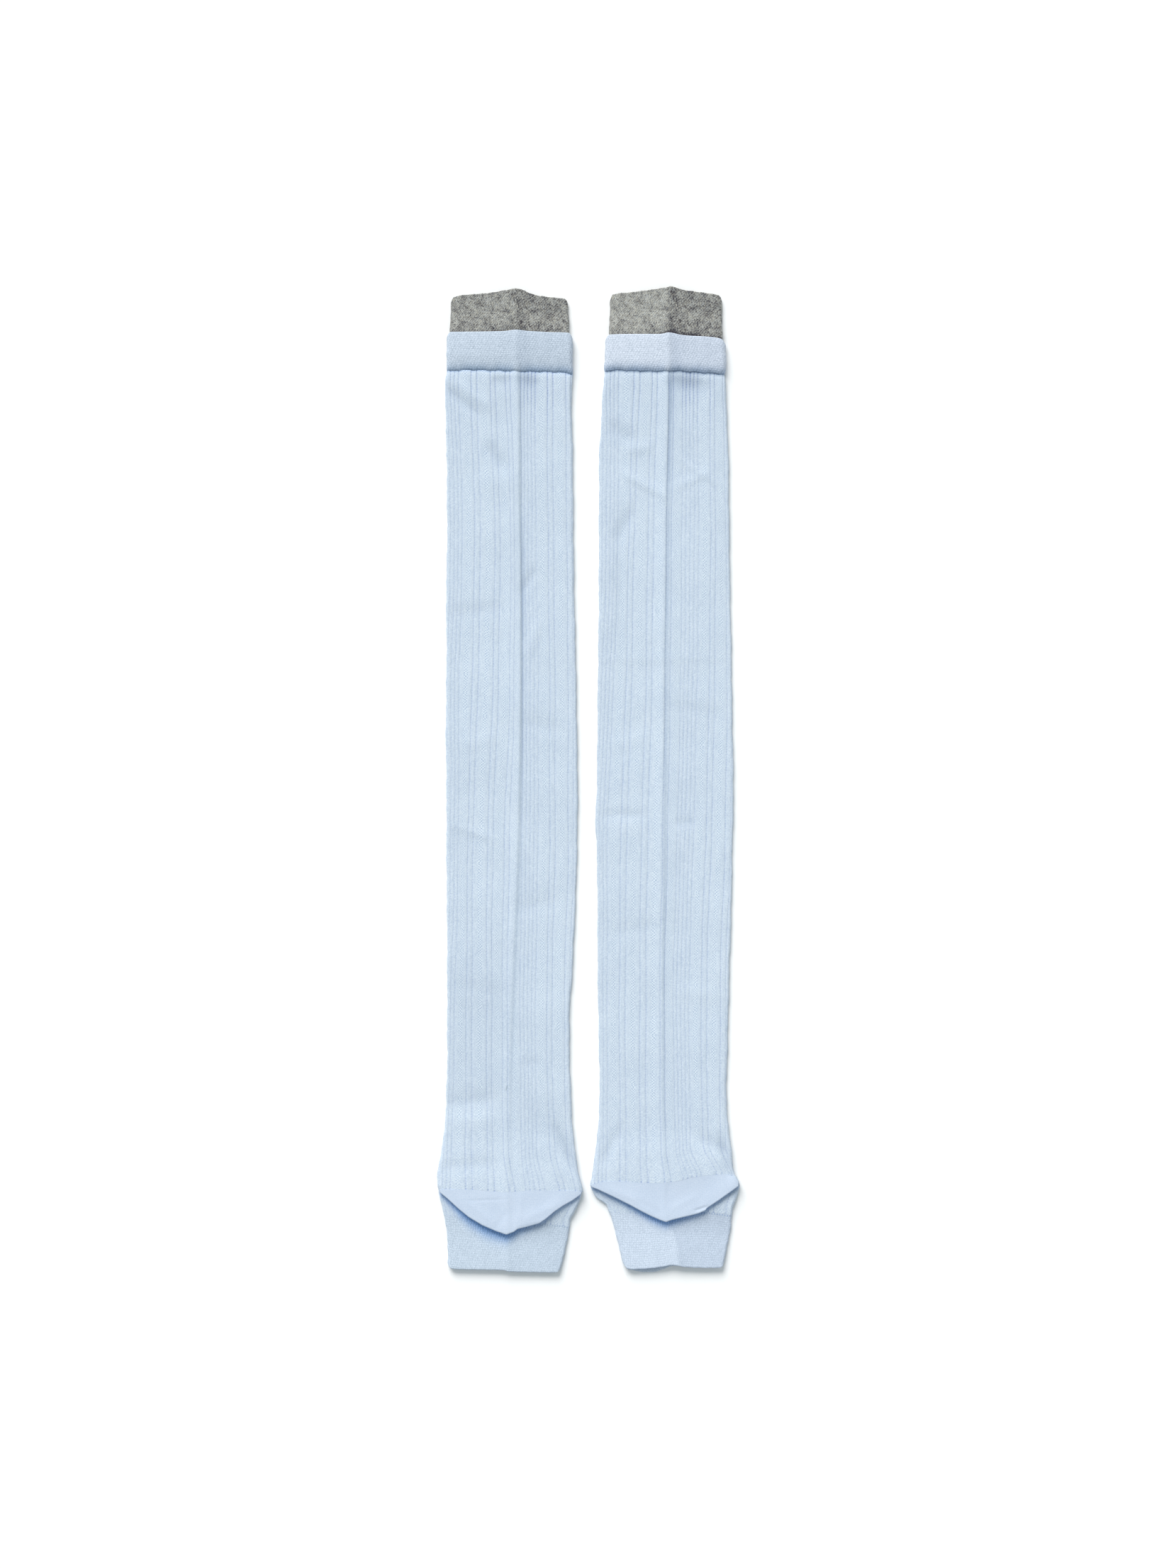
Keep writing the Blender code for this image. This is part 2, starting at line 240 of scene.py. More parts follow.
CUFF = {
    "left": table(
        "y      left   right  height low",
        (277.0, -77.4, -11.6, 2.2, 0.0),
        (268.0, -77.6, -11.4, 2.3, 0.1),
        (261.0, -77.8, -11.3, 2.3, 0.7),
        (254.5, -78.0, -11.1, 2.3, 1.4),
        (240.0, -78.1, -11.0, 2.3, 1.45),
        (230.0, -78.2, -11.0, 2.0, 1.2)),
    "right": table(
        "y      left   right  height low",
        (278.0, 12.2, 75.0, 2.2, 0.0),
        (267.0, 12.0, 75.3, 2.3, 0.1),
        (260.0, 11.8, 75.4, 2.3, 0.7),
        (253.0, 11.5, 75.5, 2.3, 1.4),
        (240.0, 11.2, 75.4, 2.3, 1.45),
        (230.0, 11.0, 75.3, 2.0, 1.2)),
}

# ---------------------------------------------------------------- edges across each sock
EDGES = {
    "left": {
        "cuff_end": edge((0, 269.1), (0.015, 271.2), (0.045, 272.5), (0.33, 274.3), (0.52, 276.4),
                         (0.56, 276.8), (0.63, 275.5), (0.70, 273.5), (0.85, 271.9),
                         (0.965, 271.1), (0.99, 270.3), (1, 268.7)),
        "band_top": edge((0, 249.3), (0.01, 251.0), (0.03, 252.2), (0.24, 252.3), (0.44, 252.5),
                         (0.555, 253.3), (0.65, 252.6), (0.82, 252.0), (0.965, 251.7),
                         (0.99, 250.5), (1, 248.9)),
        "band_seam": edge((0, 230.1), (0.16, 230.9), (0.33, 230.6), (0.53, 230.2), (0.61, 230.0),
                          (0.86, 229.7), (0.97, 228.9), (1, 228.4)),
        "heel_line": edge((0, -231.3), (0.04, -230.9), (0.24, -231.0), (0.39, -232.1),
                          (0.50, -232.3), (0.64, -231.5), (0.89, -231.6), (0.98, -232.1),
                          (1, -232.5)),
        "toe_seam": edge((0, -245.7), (0.5, -248.6), (0.84, -250.8), (0.93, -251.2), (1, -252.3)),
        "toe_end": edge((0, -273.2), (0.02, -275.2), (0.06, -275.9), (0.3, -276.2), (0.50, -276.5),
                        (0.54, -277.2), (0.75, -277.6), (0.97, -277.8), (1, -276.0)),
        "toe_end_low": edge((0, -273.2), (0.02, -275.2), (0.06, -275.9), (0.3, -276.2),
                            (0.5, -276.7), (0.75, -277.4), (0.97, -277.7), (1, -276.0)),
    },
    "right": {
        "cuff_end": edge((0, 269.9), (0.01, 271.9), (0.03, 273.5), (0.18, 274.6), (0.365, 276.0),
                         (0.495, 277.2), (0.54, 277.8), (0.595, 277.2), (0.64, 276.1),
                         (0.78, 274.9), (0.92, 273.7), (0.967, 273.2), (0.99, 271.9), (1, 269.9)),
        "band_top": edge((0, 247.9), (0.01, 249.5), (0.03, 250.6), (0.2, 250.9), (0.46, 250.9),
                         (0.525, 251.7), (0.64, 250.3), (0.9, 249.1), (0.97, 248.0), (1, 245.5)),
        "band_seam": edge((0, 229.9), (0.08, 230.9), (0.255, 230.4), (0.47, 230.2), (0.58, 230.4),
                          (0.73, 229.7), (0.9, 229.0), (1, 228.5)),
        "heel_line": edge((0, -228.9), (0.03, -227.7), (0.094, -226.5), (0.198, -226.3),
                          (0.335, -227.1), (0.476, -227.2), (0.58, -226.2), (0.684, -224.1),
                          (0.774, -223.0), (0.89, -222.4), (0.953, -223.6), (0.985, -226.0),
                          (1, -228.3)),
        "toe_seam": edge((0, -244.1), (0.17, -244.7), (0.5, -244.5), (0.786, -243.8), (1, -245.6)),
        "toe_end": edge((0, -273.3), (0.04, -275.8), (0.08, -276.1), (0.24, -275.7),
                        (0.385, -274.7), (0.5, -273.6), (0.59, -274.6), (0.8, -275.2),
                        (0.96, -275.2), (0.985, -274.3), (1, -272.3)),
        "toe_end_low": edge((0, -273.3), (0.04, -276.0), (0.1, -276.8), (0.2, -277.8),
                            (0.28, -277.8), (0.385, -276.4), (0.49, -274.3), (0.59, -274.6),
                            (0.8, -275.2), (0.96, -275.2), (0.985, -274.3), (1, -272.3)),
    },
}

def drawn_in(line, start):
    """A seam's line, where its stitches draw the cloth in a little more here than there."""
    def drawn(s):
        return line(s) + 0.20 * np.sin(49.0 * s + start) + 0.09 * np.sin(107.0 * s + 2 * start)
    return drawn


EDGES["left"]["band_seam"] = drawn_in(EDGES["left"]["band_seam"], 0.4)
EDGES["right"]["band_seam"] = drawn_in(EDGES["right"]["band_seam"], 2.2)

# ---------------------------------------------------------------- heel flap's folded edge
HEEL_EDGE = {
    "left": table(
        "x       y",
        (-84.6, -231.9),
        (-79.7, -235.9),
        (-72.9, -242.1),
        (-67.5, -246.5),
        (-59.8, -251.1),
        (-52.2, -254.4),
        (-46.3, -256.4),
        (-42.2, -254.9),
        (-39.9, -253.2),
        (-34.9, -252.0),
        (-27.7, -250.0),
        (-24.1, -247.6),
        (-19.3, -243.5),
        (-14.1, -240.0),
        (-8.9, -237.1),
        (-3.3, -233.0)),
    "right": table(
        "x       y",
        (0.8, -229.3),
        (5.8, -231.2),
        (14.6, -235.3),
        (23.4, -239.7),
        (29.2, -242.9),
        (35.1, -245.9),
        (40.4, -248.2),
        (43.6, -249.3),
        (46.9, -248.1),
        (52.7, -246.7),
        (57.4, -245.6),
        (62.1, -244.4),
        (65.6, -242.9),
        (66.9, -241.3),
        (73.3, -237.1),
        (79.1, -232.9),
        (85.2, -228.6)),
}

# ---------------------------------------------------------------- where the ribs run
# x of the last groove of the first narrow ribs (d0), the middle of each pair (p1 to p5), and the
# first and last grooves of the second narrow ribs (d1, d2), down the upper layer.
RIB_MARKS = {"d0": 9.2, "p1": 18.0, "p2": 29.0, "p3": 39.6, "d1": 48.5, "d2": 57.7,
             "p4": 66.5, "p5": 77.5}
RIBS = {
    "left": table(
        "y       d0     p1     p2     p3     d1     d2     p4     p5",
        (222.3, -73.2, -64.6, -54.0, -45.4, -37.9, -30.1, -21.7, -11.2),
        (135.9, -71.0, -62.6, -51.2, -42.6, -37.7, -29.5, -21.2, -10.6),
        (49.5, -73.0, -64.0, -52.4, -43.1, -36.9, -28.2, -20.3, -9.9),
        (-36.9, -73.3, -66.6, -55.2, -46.0, -37.4, -28.4, -20.3, -9.9),
        (-123.3, -75.3, -67.2, -55.9, -47.1, -38.5, -29.8, -22.0, -11.9),
        (-209.7, -77.0, -67.6, -55.5, -46.5, -37.5, -29.0, -20.3, -10.8),
        (-231.3, -78.0, -67.1, -54.7, -42.9, -35.5, -24.4, -14.5, -6.0)),
    "right": table(
        "y       d0     p1     p2     p3     d1     d2     p4     p5",
        (222.3, 17.1, 27.4, 37.3, 46.9, 53.3, 61.5, 69.8, 77.0),
        (135.9, 16.7, 24.3, 35.1, 45.5, 52.7, 62.2, 70.3, 79.0),
        (49.5, 14.1, 22.7, 34.0, 44.7, 51.9, 61.1, 69.6, 79.6),
        (-36.9, 10.7, 19.9, 31.6, 43.3, 50.0, 59.2, 67.7, 78.5),
        (-123.3, 10.6, 19.1, 30.6, 41.7, 47.9, 56.8, 65.1, 75.9),
        (-209.7, 10.8, 19.5, 30.7, 42.5, 49.5, 57.6, 66.1, 75.8),
        (-225.7, 9.9, 19.6, 31.5, 44.7, 53.3, 63.6, 73.8, 81.9)),
}

# ---------------------------------------------------------------- pressed crease
# x: its top, rise: its height, left and right: how wide it slopes to each side, roof: how much
# the whole upper layer stands up to it, line: how dark the painted shade line at its right foot is.
CREASE = {
    "left": table(
        "y       x      rise  left  right roof line",
        (278.0, -40.6, 0.35, 3.0, 1.8, 1.6, 0.10),
        (252.0, -40.6, 0.35, 3.0, 1.8, 0.9, 0.15),
        (236.0, -40.6, 0.40, 2.6, 1.8, 0.5, 0.10),
        (229.0, -40.4, 0.85, 3.2, 1.4, 0.4, 0.35),
        (215.0, -39.8, 1.00, 4.6, 1.4, 0.3, 0.22),
        (152.0, -39.5, 1.10, 5.2, 1.3, 0.0, 0.40),
        (128.0, -38.8, 1.20, 5.2, 1.0, 0.0, 0.80),
        (60.0, -38.7, 1.15, 5.0, 1.0, 0.0, 0.85),
        (-36.0, -40.2, 0.80, 4.2, 1.2, 0.0, 0.48),
        (-110.0, -43.2, 0.60, 3.6, 1.4, 0.0, 0.50),
        (-170.0, -45.2, 0.45, 3.2, 1.6, 0.0, 0.30),
        (-215.0, -45.7, 0.35, 3.0, 1.8, 0.1, 0.15),
        (-278.0, -45.7, 0.30, 2.6, 2.0, 0.1, 0.10)),
    "right": table(
        "y       x      rise  left  right roof line",
        (278.0, 46.2, 0.40, 3.0, 1.6, 2.2, 0.10),
        (252.0, 45.0, 0.45, 3.0, 1.6, 1.4, 0.15),
        (236.0, 44.8, 0.45, 2.6, 1.8, 0.9, 0.15),
        (229.0, 44.5, 0.90, 3.0, 1.6, 0.8, 0.70),
        (215.0, 44.6, 1.10, 4.2, 1.1, 0.9, 1.00),
        (185.0, 44.0, 1.00, 4.6, 1.0, 0.4, 0.95),
        (150.0, 43.4, 0.80, 4.6, 1.0, 0.0, 0.75),
        (60.0, 42.4, 0.70, 4.2, 1.0, 0.0, 0.60),
        (-36.0, 41.6, 0.60, 4.0, 1.2, 0.0, 0.55),
        (-110.0, 41.0, 0.50, 3.6, 1.4, 0.0, 0.50),
        (-170.0, 40.8, 0.40, 3.2, 1.6, 0.0, 0.35),
        (-215.0, 42.4, 0.30, 3.0, 1.8, 0.0, 0.10),
        (-246.0, 43.6, 0.30, 2.6, 2.0, 0.2, 0.10),
        (-262.0, 49.0, 0.45, 3.0, 2.4, 0.5, 0.20),
        (-278.0, 50.6, 0.60, 3.0, 2.4, 0.6, 0.25)),
}

# ---------------------------------------------------------------- folds and drag lines
# x, y: middle. long: length, turn: its direction in degrees from +X, rise: height of a ridge, or
# depth of a trough if negative, over: its width on the side turned 90 degrees on from that
# direction, under: its width on the other side.
FOLDS = {
    "left": table(
        "x      y      long  turn  rise  over  under",
        (-71.0, 213.5, 28.0, -38, -0.55, 1.6, 2.8),
        (-66.0, 217.0, 26.0, -36, 0.55, 3.4, 2.4),
        (-52.0, 182.0, 18.0, -50, -0.60, 4.5, 3.0),
        (-54.0, 168.0, 22.0, -10, 0.25, 5.0, 6.0),
        (-49.0, 225.0, 12.0, 0, -0.55, 2.2, 4.0),
        (-34.0, 224.0, 14.0, -12, -0.60, 3.0, 4.0),
        (-34.0, 112.0, 16.0, 60, -0.45, 2.5, 2.5),
        (-31.0, 80.0, 20.0, 70, 0.35, 3.0, 3.0),
        (-62.0, 96.0, 30.0, 8, -0.30, 3.0, 5.0),
        (-24.0, 30.0, 24.0, -14, -0.28, 5.0, 3.0),
        (-60.0, 22.0, 26.0, 12, 0.26, 4.0, 4.0),
        (-64.0, -31.0, 28.0, -19, 0.34, 3.4, 0.8),
        (-30.0, -70.0, 26.0, 9, -0.26, 4.0, 4.0),
        (-62.0, -118.0, 30.0, -7, -0.24, 5.0, 3.0),
        (-67.0, -182.0, 30.0, 4, -0.45, 7.0, 2.0),
        (-66.0, -191.0, 30.0, 2, 0.40, 2.4, 8.0),
        (-70.0, -217.0, 34.0, 6, -0.45, 3.2, 4.5),
        (-13.0, -208.0, 30.0, -66, -0.70, 3.0, 2.6),
        (-20.0, -214.0, 26.0, -60, 0.48, 3.2, 4.0),
        (-32.0, -160.0, 12.0, 15, -0.25, 3.0, 3.0)),
    "right": table(
        "x      y      long  turn  rise  over  under",
        (56.0, 223.0, 24.0, -8, -0.75, 3.4, 5.0),
        (18.0, 196.0, 16.0, -30, -0.55, 4.0, 4.0),
        (29.0, 187.0, 16.0, 10, 0.45, 3.0, 3.5),
        (31.0, 165.0, 28.0, -28, 0.50, 4.0, 0.9),
        (58.0, 168.0, 26.0, 24, 0.30, 2.6, 1.2),
        (62.0, 173.0, 34.0, -32, 0.26, 2.4, 1.2),
        (20.0, 143.0, 22.0, 64, -0.50, 4.0, 3.2),
        (17.0, 112.0, 60.0, 90, -0.24, 2.4, 2.4),
        (40.0, 68.0, 66.0, 1, 0.20, 2.6, 1.6),
        (60.0, 40.0, 28.0, -10, -0.26, 3.0, 5.0),
        (24.0, 22.0, 24.0, 12, 0.26, 4.0, 4.0),
        (20.0, -20.0, 26.0, 1, -0.42, 2.6, 2.0),
        (54.0, -24.0, 12.0, 0, -0.38, 2.2, 2.2),
        (26.0, -84.0, 26.0, 10, -0.26, 4.0, 3.0),
        (62.0, -120.0, 28.0, -8, 0.24, 3.0, 5.0),
        (13.0, -206.0, 26.0, 62, -0.42, 3.4, 3.0),
        (70.0, -205.0, 20.0, -30, -0.55, 3.4, 4.0),
        (77.0, -212.0, 26.0, -76, -0.60, 2.4, 2.6),
        (42.0, -210.0, 60.0, 0, 0.35, 9.0, 7.0)),
}
# Slow swells of each leg's cloth: length of one wave along and across, turn, height, start.
SWELLS = (
    (96.0, 17.0, 0.12, 0.0),
    (61.0, -34.0, 0.10, 1.9),
    (38.0, 63.0, 0.07, 4.1),
    (24.0, -71.0, 0.035, 2.6),
    (150.0, 80.0, 0.16, 0.7),
)


def crease_rise(side, x, y):
    """Height of the pressed crease at x, y."""
    c = CREASE_CURVES[side]
    away = x - c["x"](y)
    width = np.where(away < 0, c["left"](y), c["right"](y))
    roof = c["roof"](y) * np.clip(1 - np.sqrt(away ** 2 + 9.0) / 36.0, 0, 1)
    return c["rise"](y) * np.exp(-(away / width) ** 2) + roof


def fold_rise(side, x, y):
    """Height that the folds and drag lines add to the upper layer at x, y."""
    rows = FOLDS[side]
    total = np.zeros_like(x)
    for i in range(len(rows["x"])):
        turn = math.radians(rows["turn"][i])
        dx, dy = x - rows["x"][i], y - rows["y"][i]
        along = dx * math.cos(turn) + dy * math.sin(turn)
        across = dy * math.cos(turn) - dx * math.sin(turn)
        width = np.where(across > 0, rows["over"][i], rows["under"][i])
        total += rows["rise"][i] * np.exp(-(across / width) ** 2
                                          - (2.0 * along / rows["long"][i]) ** 4)
    return total


def swell_rise(side, x, y):
    """The slow unevenness of cloth that has been worn in and pressed by hand."""
    shift = 0.0 if side == "left" else 2.3
    total = np.zeros_like(x)
    for length, turn, height, start in SWELLS:
        turn = math.radians(turn + (0 if side == "left" else 23))
        along = x * math.cos(turn) + y * math.sin(turn)
        total += height * np.sin(2 * math.pi * along / length + start + shift)
    return total


CREASE_CURVES = {side: curves(CREASE[side]) for side in CREASE}


# ---------------------------------------------------------------- the ribs' own shape
def groove_depth(knit):
    """Depth of the rib grooves at a place round the leg."""
    place = np.mod(knit, REPEAT)
    depth = np.zeros_like(place)
    for marks, deep in ((NARROW, NARROW_DEPTH), (PAIRED, PAIRED_DEPTH)):
        for mark in marks:
            away = np.abs(place - mark)
            away = np.minimum(away, REPEAT - away)
            depth = np.maximum(depth, deep * np.exp(-(away / GROOVE_WIDTH) ** 2))
    return depth


def zigzag_share(knit):
    """1 in the openwork columns, 0 outside them."""
    place = np.mod(knit, REPEAT)
    share = np.zeros_like(place)
    for mark in ZIGZAGS:
        away = np.abs(place - mark)
        share = np.maximum(share, np.clip((ZIGZAG_WIDTH + 0.35 - away) / 0.7, 0, 1))
    return share


def zigzag_start(knit):
    """How far down each openwork column its first turn comes, so that no two agree."""
    middles = [(a + b) / 2 for a, b in zip(ZIGZAGS, ZIGZAGS[1:])]
    nearest = np.searchsorted(middles, np.mod(knit, REPEAT)) + 4 * np.floor(knit / REPEAT)
    return np.mod(nearest * 7.7, 2 * ZIGZAG_RUN)


def rib_columns(start, fine_end):
    """Places round the leg where the mesh has a column: close together at each groove, wider
    apart between them, and fewer from fine_end on, which is the layer on the floor."""
    end = start + REPEAT * REPEATS
    places = []
    grooves = sorted(g + REPEAT * k for k in range(-2, REPEATS + 3) for g in NARROW + PAIRED)
    grooves = [g for g in grooves if start - 12 < g < end + 12]
    for a, b in zip(grooves, grooves[1:]):
        fine = a < fine_end
        steps = (-0.56, -0.27, 0.0, 0.27, 0.56) if fine else (-0.5, 0.0, 0.5)
        places += [a + s for s in steps]
        first, last = a + steps[-1], b - steps[-1]
        count = max(1, round((last - first) / (0.5 if fine else 1.3)))
        places += [first + (last - first) * i / count for i in range(1, count)]
    places = np.array(sorted(p for p in places if start <= p < end - 0.2))
    return places


# ---------------------------------------------------------------- meshes
def section(left, right, low, height, q):
    """Points and outward normals round a flattened tube, at distances q from its left side
    fold, over the upper layer first."""
    radius = height / 2.0
    flat = (right - left) - height
    quarter = math.pi * radius / 2.0
    turn = 2 * flat + 4 * quarter
    q = np.mod(q, turn)
    q1, q2, q3, q4 = quarter, quarter + flat, 3 * quarter + flat, 3 * quarter + 2 * flat
    on_left = (q < q1) | (q >= q4)
    on_right = (q >= q2) & (q < q3)
    angle = np.where(on_left, math.pi - np.where(q < q1, q, q - turn) / radius,
                     np.where(on_right, math.pi / 2 - (q - q2) / radius,
                              np.where(q < q2, math.pi / 2, -math.pi / 2)))
    centre = np.where(on_left, left + radius,
                      np.where(on_right, right - radius,
                               np.where(q < q2, left + radius + q - q1, right - radius - q + q3)))
    nx, nz = np.cos(angle), np.sin(angle)
    flat_part = ~(on_left | on_right)
    nx = np.where(flat_part, 0.0, nx)
    return centre + radius * nx, low + radius + radius * nz, nx, nz, turn


def make_mesh(name, points, faces, corners, marks):
    """An object from points in millimetres, with its knit coordinates and named marks."""
    mesh = bpy.data.meshes.new(name)
    mesh.from_pydata((points * MM).tolist(), [], faces)
    mesh.update()
    layer = mesh.uv_layers.new(name="Knit")
    layer.uv.foreach_set("vector", np.asarray(corners, np.float32).ravel())
    for mark, values in marks.items():
        attribute = mesh.attributes.new(mark, "FLOAT", "POINT")
        attribute.data.foreach_set("value", np.asarray(values, np.float32))
    mesh.shade_smooth()
    thing = bpy.data.objects.new(name, mesh)
    bpy.context.scene.collection.objects.link(thing)
    return thing


def grid_shell(name, outer, inner, knit, marks, closed, row_step, column_step):
    """One closed shell from a grid of outer points and the grid inside it, of which it keeps
    every row_step-th row and column_step-th column. closed: the columns go all the way round.
    The two are joined along every free edge."""
    rows, columns = outer.shape[:2]
    keep_rows = sorted(set(range(0, rows, row_step)) | {rows - 1})
    keep_columns = list(range(0, columns, column_step))
    if not closed and keep_columns[-1] != columns - 1:
        keep_columns.append(columns - 1)
    count = len(keep_columns)
    base = rows * columns
    points = np.concatenate([outer.reshape(-1, 3),
                             inner[np.ix_(keep_rows, keep_columns)].reshape(-1, 3)])
    u, v = knit
    turn = u[-1] - u[0] if len(u) > columns else 0.0
    faces, corners = [], []

    def outer_at(i, j):
        return i * columns + j % columns, (u[j], v[i, j % columns])

    def inner_at(a, b):
        j = keep_columns[b % count]
        wrapped = turn if b >= count else 0.0
        return base + a * count + b % count, (u[j] + wrapped, v[keep_rows[a], j])

    def face(*places):
        faces.append(tuple(p[0] for p in places))
        corners.extend(p[1] for p in places)

    last = columns if closed else columns - 1
    for i in range(rows - 1):
        for j in range(last):
            face(outer_at(i, j), outer_at(i + 1, j), outer_at(i + 1, j + 1), outer_at(i, j + 1))
    last = count if closed else count - 1
    for a in range(len(keep_rows) - 1):
        for b in range(last):
            face(inner_at(a, b), inner_at(a, b + 1), inner_at(a + 1, b + 1), inner_at(a + 1, b))
    for i, a, flip in ((0, 0, False), (rows - 1, len(keep_rows) - 1, True)):
        for b in range(last):
            j0 = keep_columns[b]
            j1 = keep_columns[b + 1] if b + 1 < count else columns
            middle = (j0 + j1 + 1) // 2
            strip = [(outer_at(i, j), outer_at(i, j + 1), inner_at(a, b if j < middle else b + 1))
                     for j in range(j0, j1)]
            strip.append((outer_at(i, middle), inner_at(a, b + 1), inner_at(a, b)))
            for corner in strip:
                face(*(corner[::-1] if flip else corner))
    if not closed:
        for j, b, flip in ((0, 0, True), (columns - 1, count - 1, False)):
            for a in range(len(keep_rows) - 1):
                i0, i1 = keep_rows[a], keep_rows[a + 1]
                middle = (i0 + i1 + 1) // 2
                strip = [(outer_at(i, j), outer_at(i + 1, j),
                          inner_at(a if i < middle else a + 1, b)) for i in range(i0, i1)]
                strip.append((outer_at(middle, j), inner_at(a + 1, b), inner_at(a, b)))
                for corner in strip:
                    face(*(corner[::-1] if flip else corner))
    flat_marks = {}
    for mark, values in marks.items():
        inside = np.zeros(len(keep_rows) * count)
        flat_marks[mark] = np.concatenate([values.reshape(-1), inside])
    return make_mesh(name, points, faces, corners, flat_marks)


def stations(length, step, ends):
    """Distances down a piece: close together near both ends, then an even step."""
    near = [d for d in ends if d < length / 3]
    start, stop = near[-1], length - near[-1]
    count = max(2, round((stop - start) / step))
    middle = [start + (stop - start) * i / count for i in range(1, count)]
    return np.array(near + middle + [length - d for d in reversed(near)])


def lip(distance, radius):
    """How far a rounded rim draws in at a distance from its edge."""
    if radius <= 0:
        return np.zeros_like(distance)
    away = np.clip(radius - distance, 0, radius)
    return radius - np.sqrt(radius ** 2 - away ** 2)


# Side folds and free rims stray a little, stitch by stitch: length and height of each wave.
STRAYS = ((33.0, 0.13), (14.3, 0.10), (7.1, 0.09), (4.3, 0.06))
SCALLOP = 1.6           # pitch of the loops that stand out along a free rim


def stray(side, fold, y):
    """How far a side fold lies off its line at y."""
    start = (0.0 if side == "left" else 2.1) + (0.0 if fold == "left" else 3.7)
    return sum(high * math.sin(2 * math.pi * y / length + start * (i + 1))
               for i, (length, high) in enumerate(STRAYS))


def tube(side, piece, outline, start, end, wall, columns, spread, rows, rise, rims,
         groove=None, end_low=None, start_gap=0.0, end_gap=0.0, row_step=5, column_step=4,
         loops=(0.0, 0.0), shade=None, turned=None, holes=None, joined=(0.0, 0.0)):
    """A knitted tube pressed flat, from one edge to another, as a closed shell. loops: how far
    the loops along its first and last rims stand out. shade: where a deeper blue painted shade
    lies on it. turned: where a greyer painted shade lies on it. holes: where it is a row of small
    holes. joined: 1 at an end that is sewn to its neighbour, where the crease carries both flat
    across."""
    lines = curves(outline)
    length = start(0.5) - start_gap - end(0.5) - end_gap
    outer = np.empty((len(rows), len(columns), 3))
    inner = np.empty_like(outer)
    run = np.empty((len(rows), len(columns)))
    upper = np.empty_like(run)
    for i, distance in enumerate(rows):
        share = distance / length

        def y_at(s, up):
            top = start(s) - start_gap
            foot = end(s) + end_gap
            if end_low is not None:
                foot = foot * up + (end_low(s) + end_gap) * (1 - up)
            return top + (foot - top) * share
        middle = float(y_at(0.5, 1.0))
        y_left, y_right = float(y_at(0.0, 1.0)), float(y_at(1.0, 1.0))
        left = float(lines["left"](y_left)) + stray(side, "left", y_left)
        right = float(lines["right"](y_right)) + stray(side, "right", y_right)
        height = float(lines["height"](middle))
        low = float(lines["low"](middle)) if "low" in lines else 0.0
        q = spread(middle, left, right, height, columns)
        x, z, nx, nz, turn = section(left, right, low, height, q)
        s = np.clip((x - left) / (right - left), 0, 1)
        up = (1 + nz) / 2
        y = y_at(s, up)
        lift = rise(x, y) * np.clip(up * 2 - 1, 0, 1) ** 1.5
        out = np.abs(np.sin(math.pi * q / SCALLOP)) - 0.5 + 0.5 * np.sin(2 * math.pi * q / 5.7)
        y = y + out * (loops[0] * math.exp(-distance) - loops[1] * math.exp(distance - length))
        flat_across = (1 - open_at_crease(side, x, y)) * up
        draw = (lip(distance, rims[0]) * (1 - joined[0] * flat_across)
                + lip(length - distance, rims[1]) * (1 - joined[1] * flat_across))
        deep = groove(columns, middle, length - distance) if groove else 0.0
        outer[i] = np.stack([x - nx * (deep + draw), y, z - nz * (deep + draw) + lift], -1)
        within = wall - draw
        inner[i] = np.stack([x - nx * within, y, z - nz * within + lift], -1)
        run[i] = distance
        upper[i] = np.clip(nz, 0, 1)
    turn_knit = columns[0] + REPEAT * REPEATS if groove else columns[-1] * 2 - columns[-2]
    u = np.append(columns, turn_knit)
    marks = {}
    if groove:
        last_stitch = (1 + HOLE_SHADE * np.exp(-((length - rows) / 0.8) ** 2))[:, None]
        # Painted shade in the grooves: just under the band they show darkest, most of all right of
        # the crease.
        x, y = outer[:, :, 0], outer[:, :, 1]
        away = x - CREASE_CURVES[side]["x"](y)
        under_band_shade = np.exp(-((231 - y) / 24.0) ** 2) * (0.5 + 1.5 * np.exp(-((away - 11) / 8.0) ** 2))
        from_fold = np.minimum(x - lines["left"](y), lines["right"](y) - x)
        # How much painted shade each groove gets, less near the side folds.
        groove_shade = groove_depth(columns)[None, :] / PAIRED_DEPTH
        groove_shade = groove_shade * (0.3 + 0.7 * np.clip(from_fold / 4.0, 0, 1))
        marks["groove_shade"] = groove_shade * last_stitch * (1 + under_band_shade)
        # The openwork is stretched, and so plainer, towards the heel, and pressed smooth where
        # the crease runs over it.
        plainer = (1 - 0.5 * np.exp(-((length - rows) / 26.0) ** 2))[:, None]
        pressed = 1 - 0.85 * upper * np.exp(-((away - 0.8) / 2.8) ** 2)
        marks["zigzag"] = zigzag_share(columns)[None, :] * plainer * pressed
        marks["start"] = np.broadcast_to(zigzag_start(columns)[None, :], run.shape)
    for name, mark in (("shade", shade), ("turned", turned), ("holes", holes)):
        if mark is not None:
            marks[name] = mark(outer[:, :, 0], outer[:, :, 1], run, upper)
    return grid_shell(f"{side}_{piece}_cloth", outer, inner, (u, run), marks, True,
                      row_step, column_step)


def even_spread(middle, left, right, height, columns):
    """Columns at even distances round the tube, whatever its width."""
    flat = (right - left) - height
    turn = 2 * flat + 2 * math.pi * height / 2
    count = len(columns)
    return (np.arange(count) / count) * turn


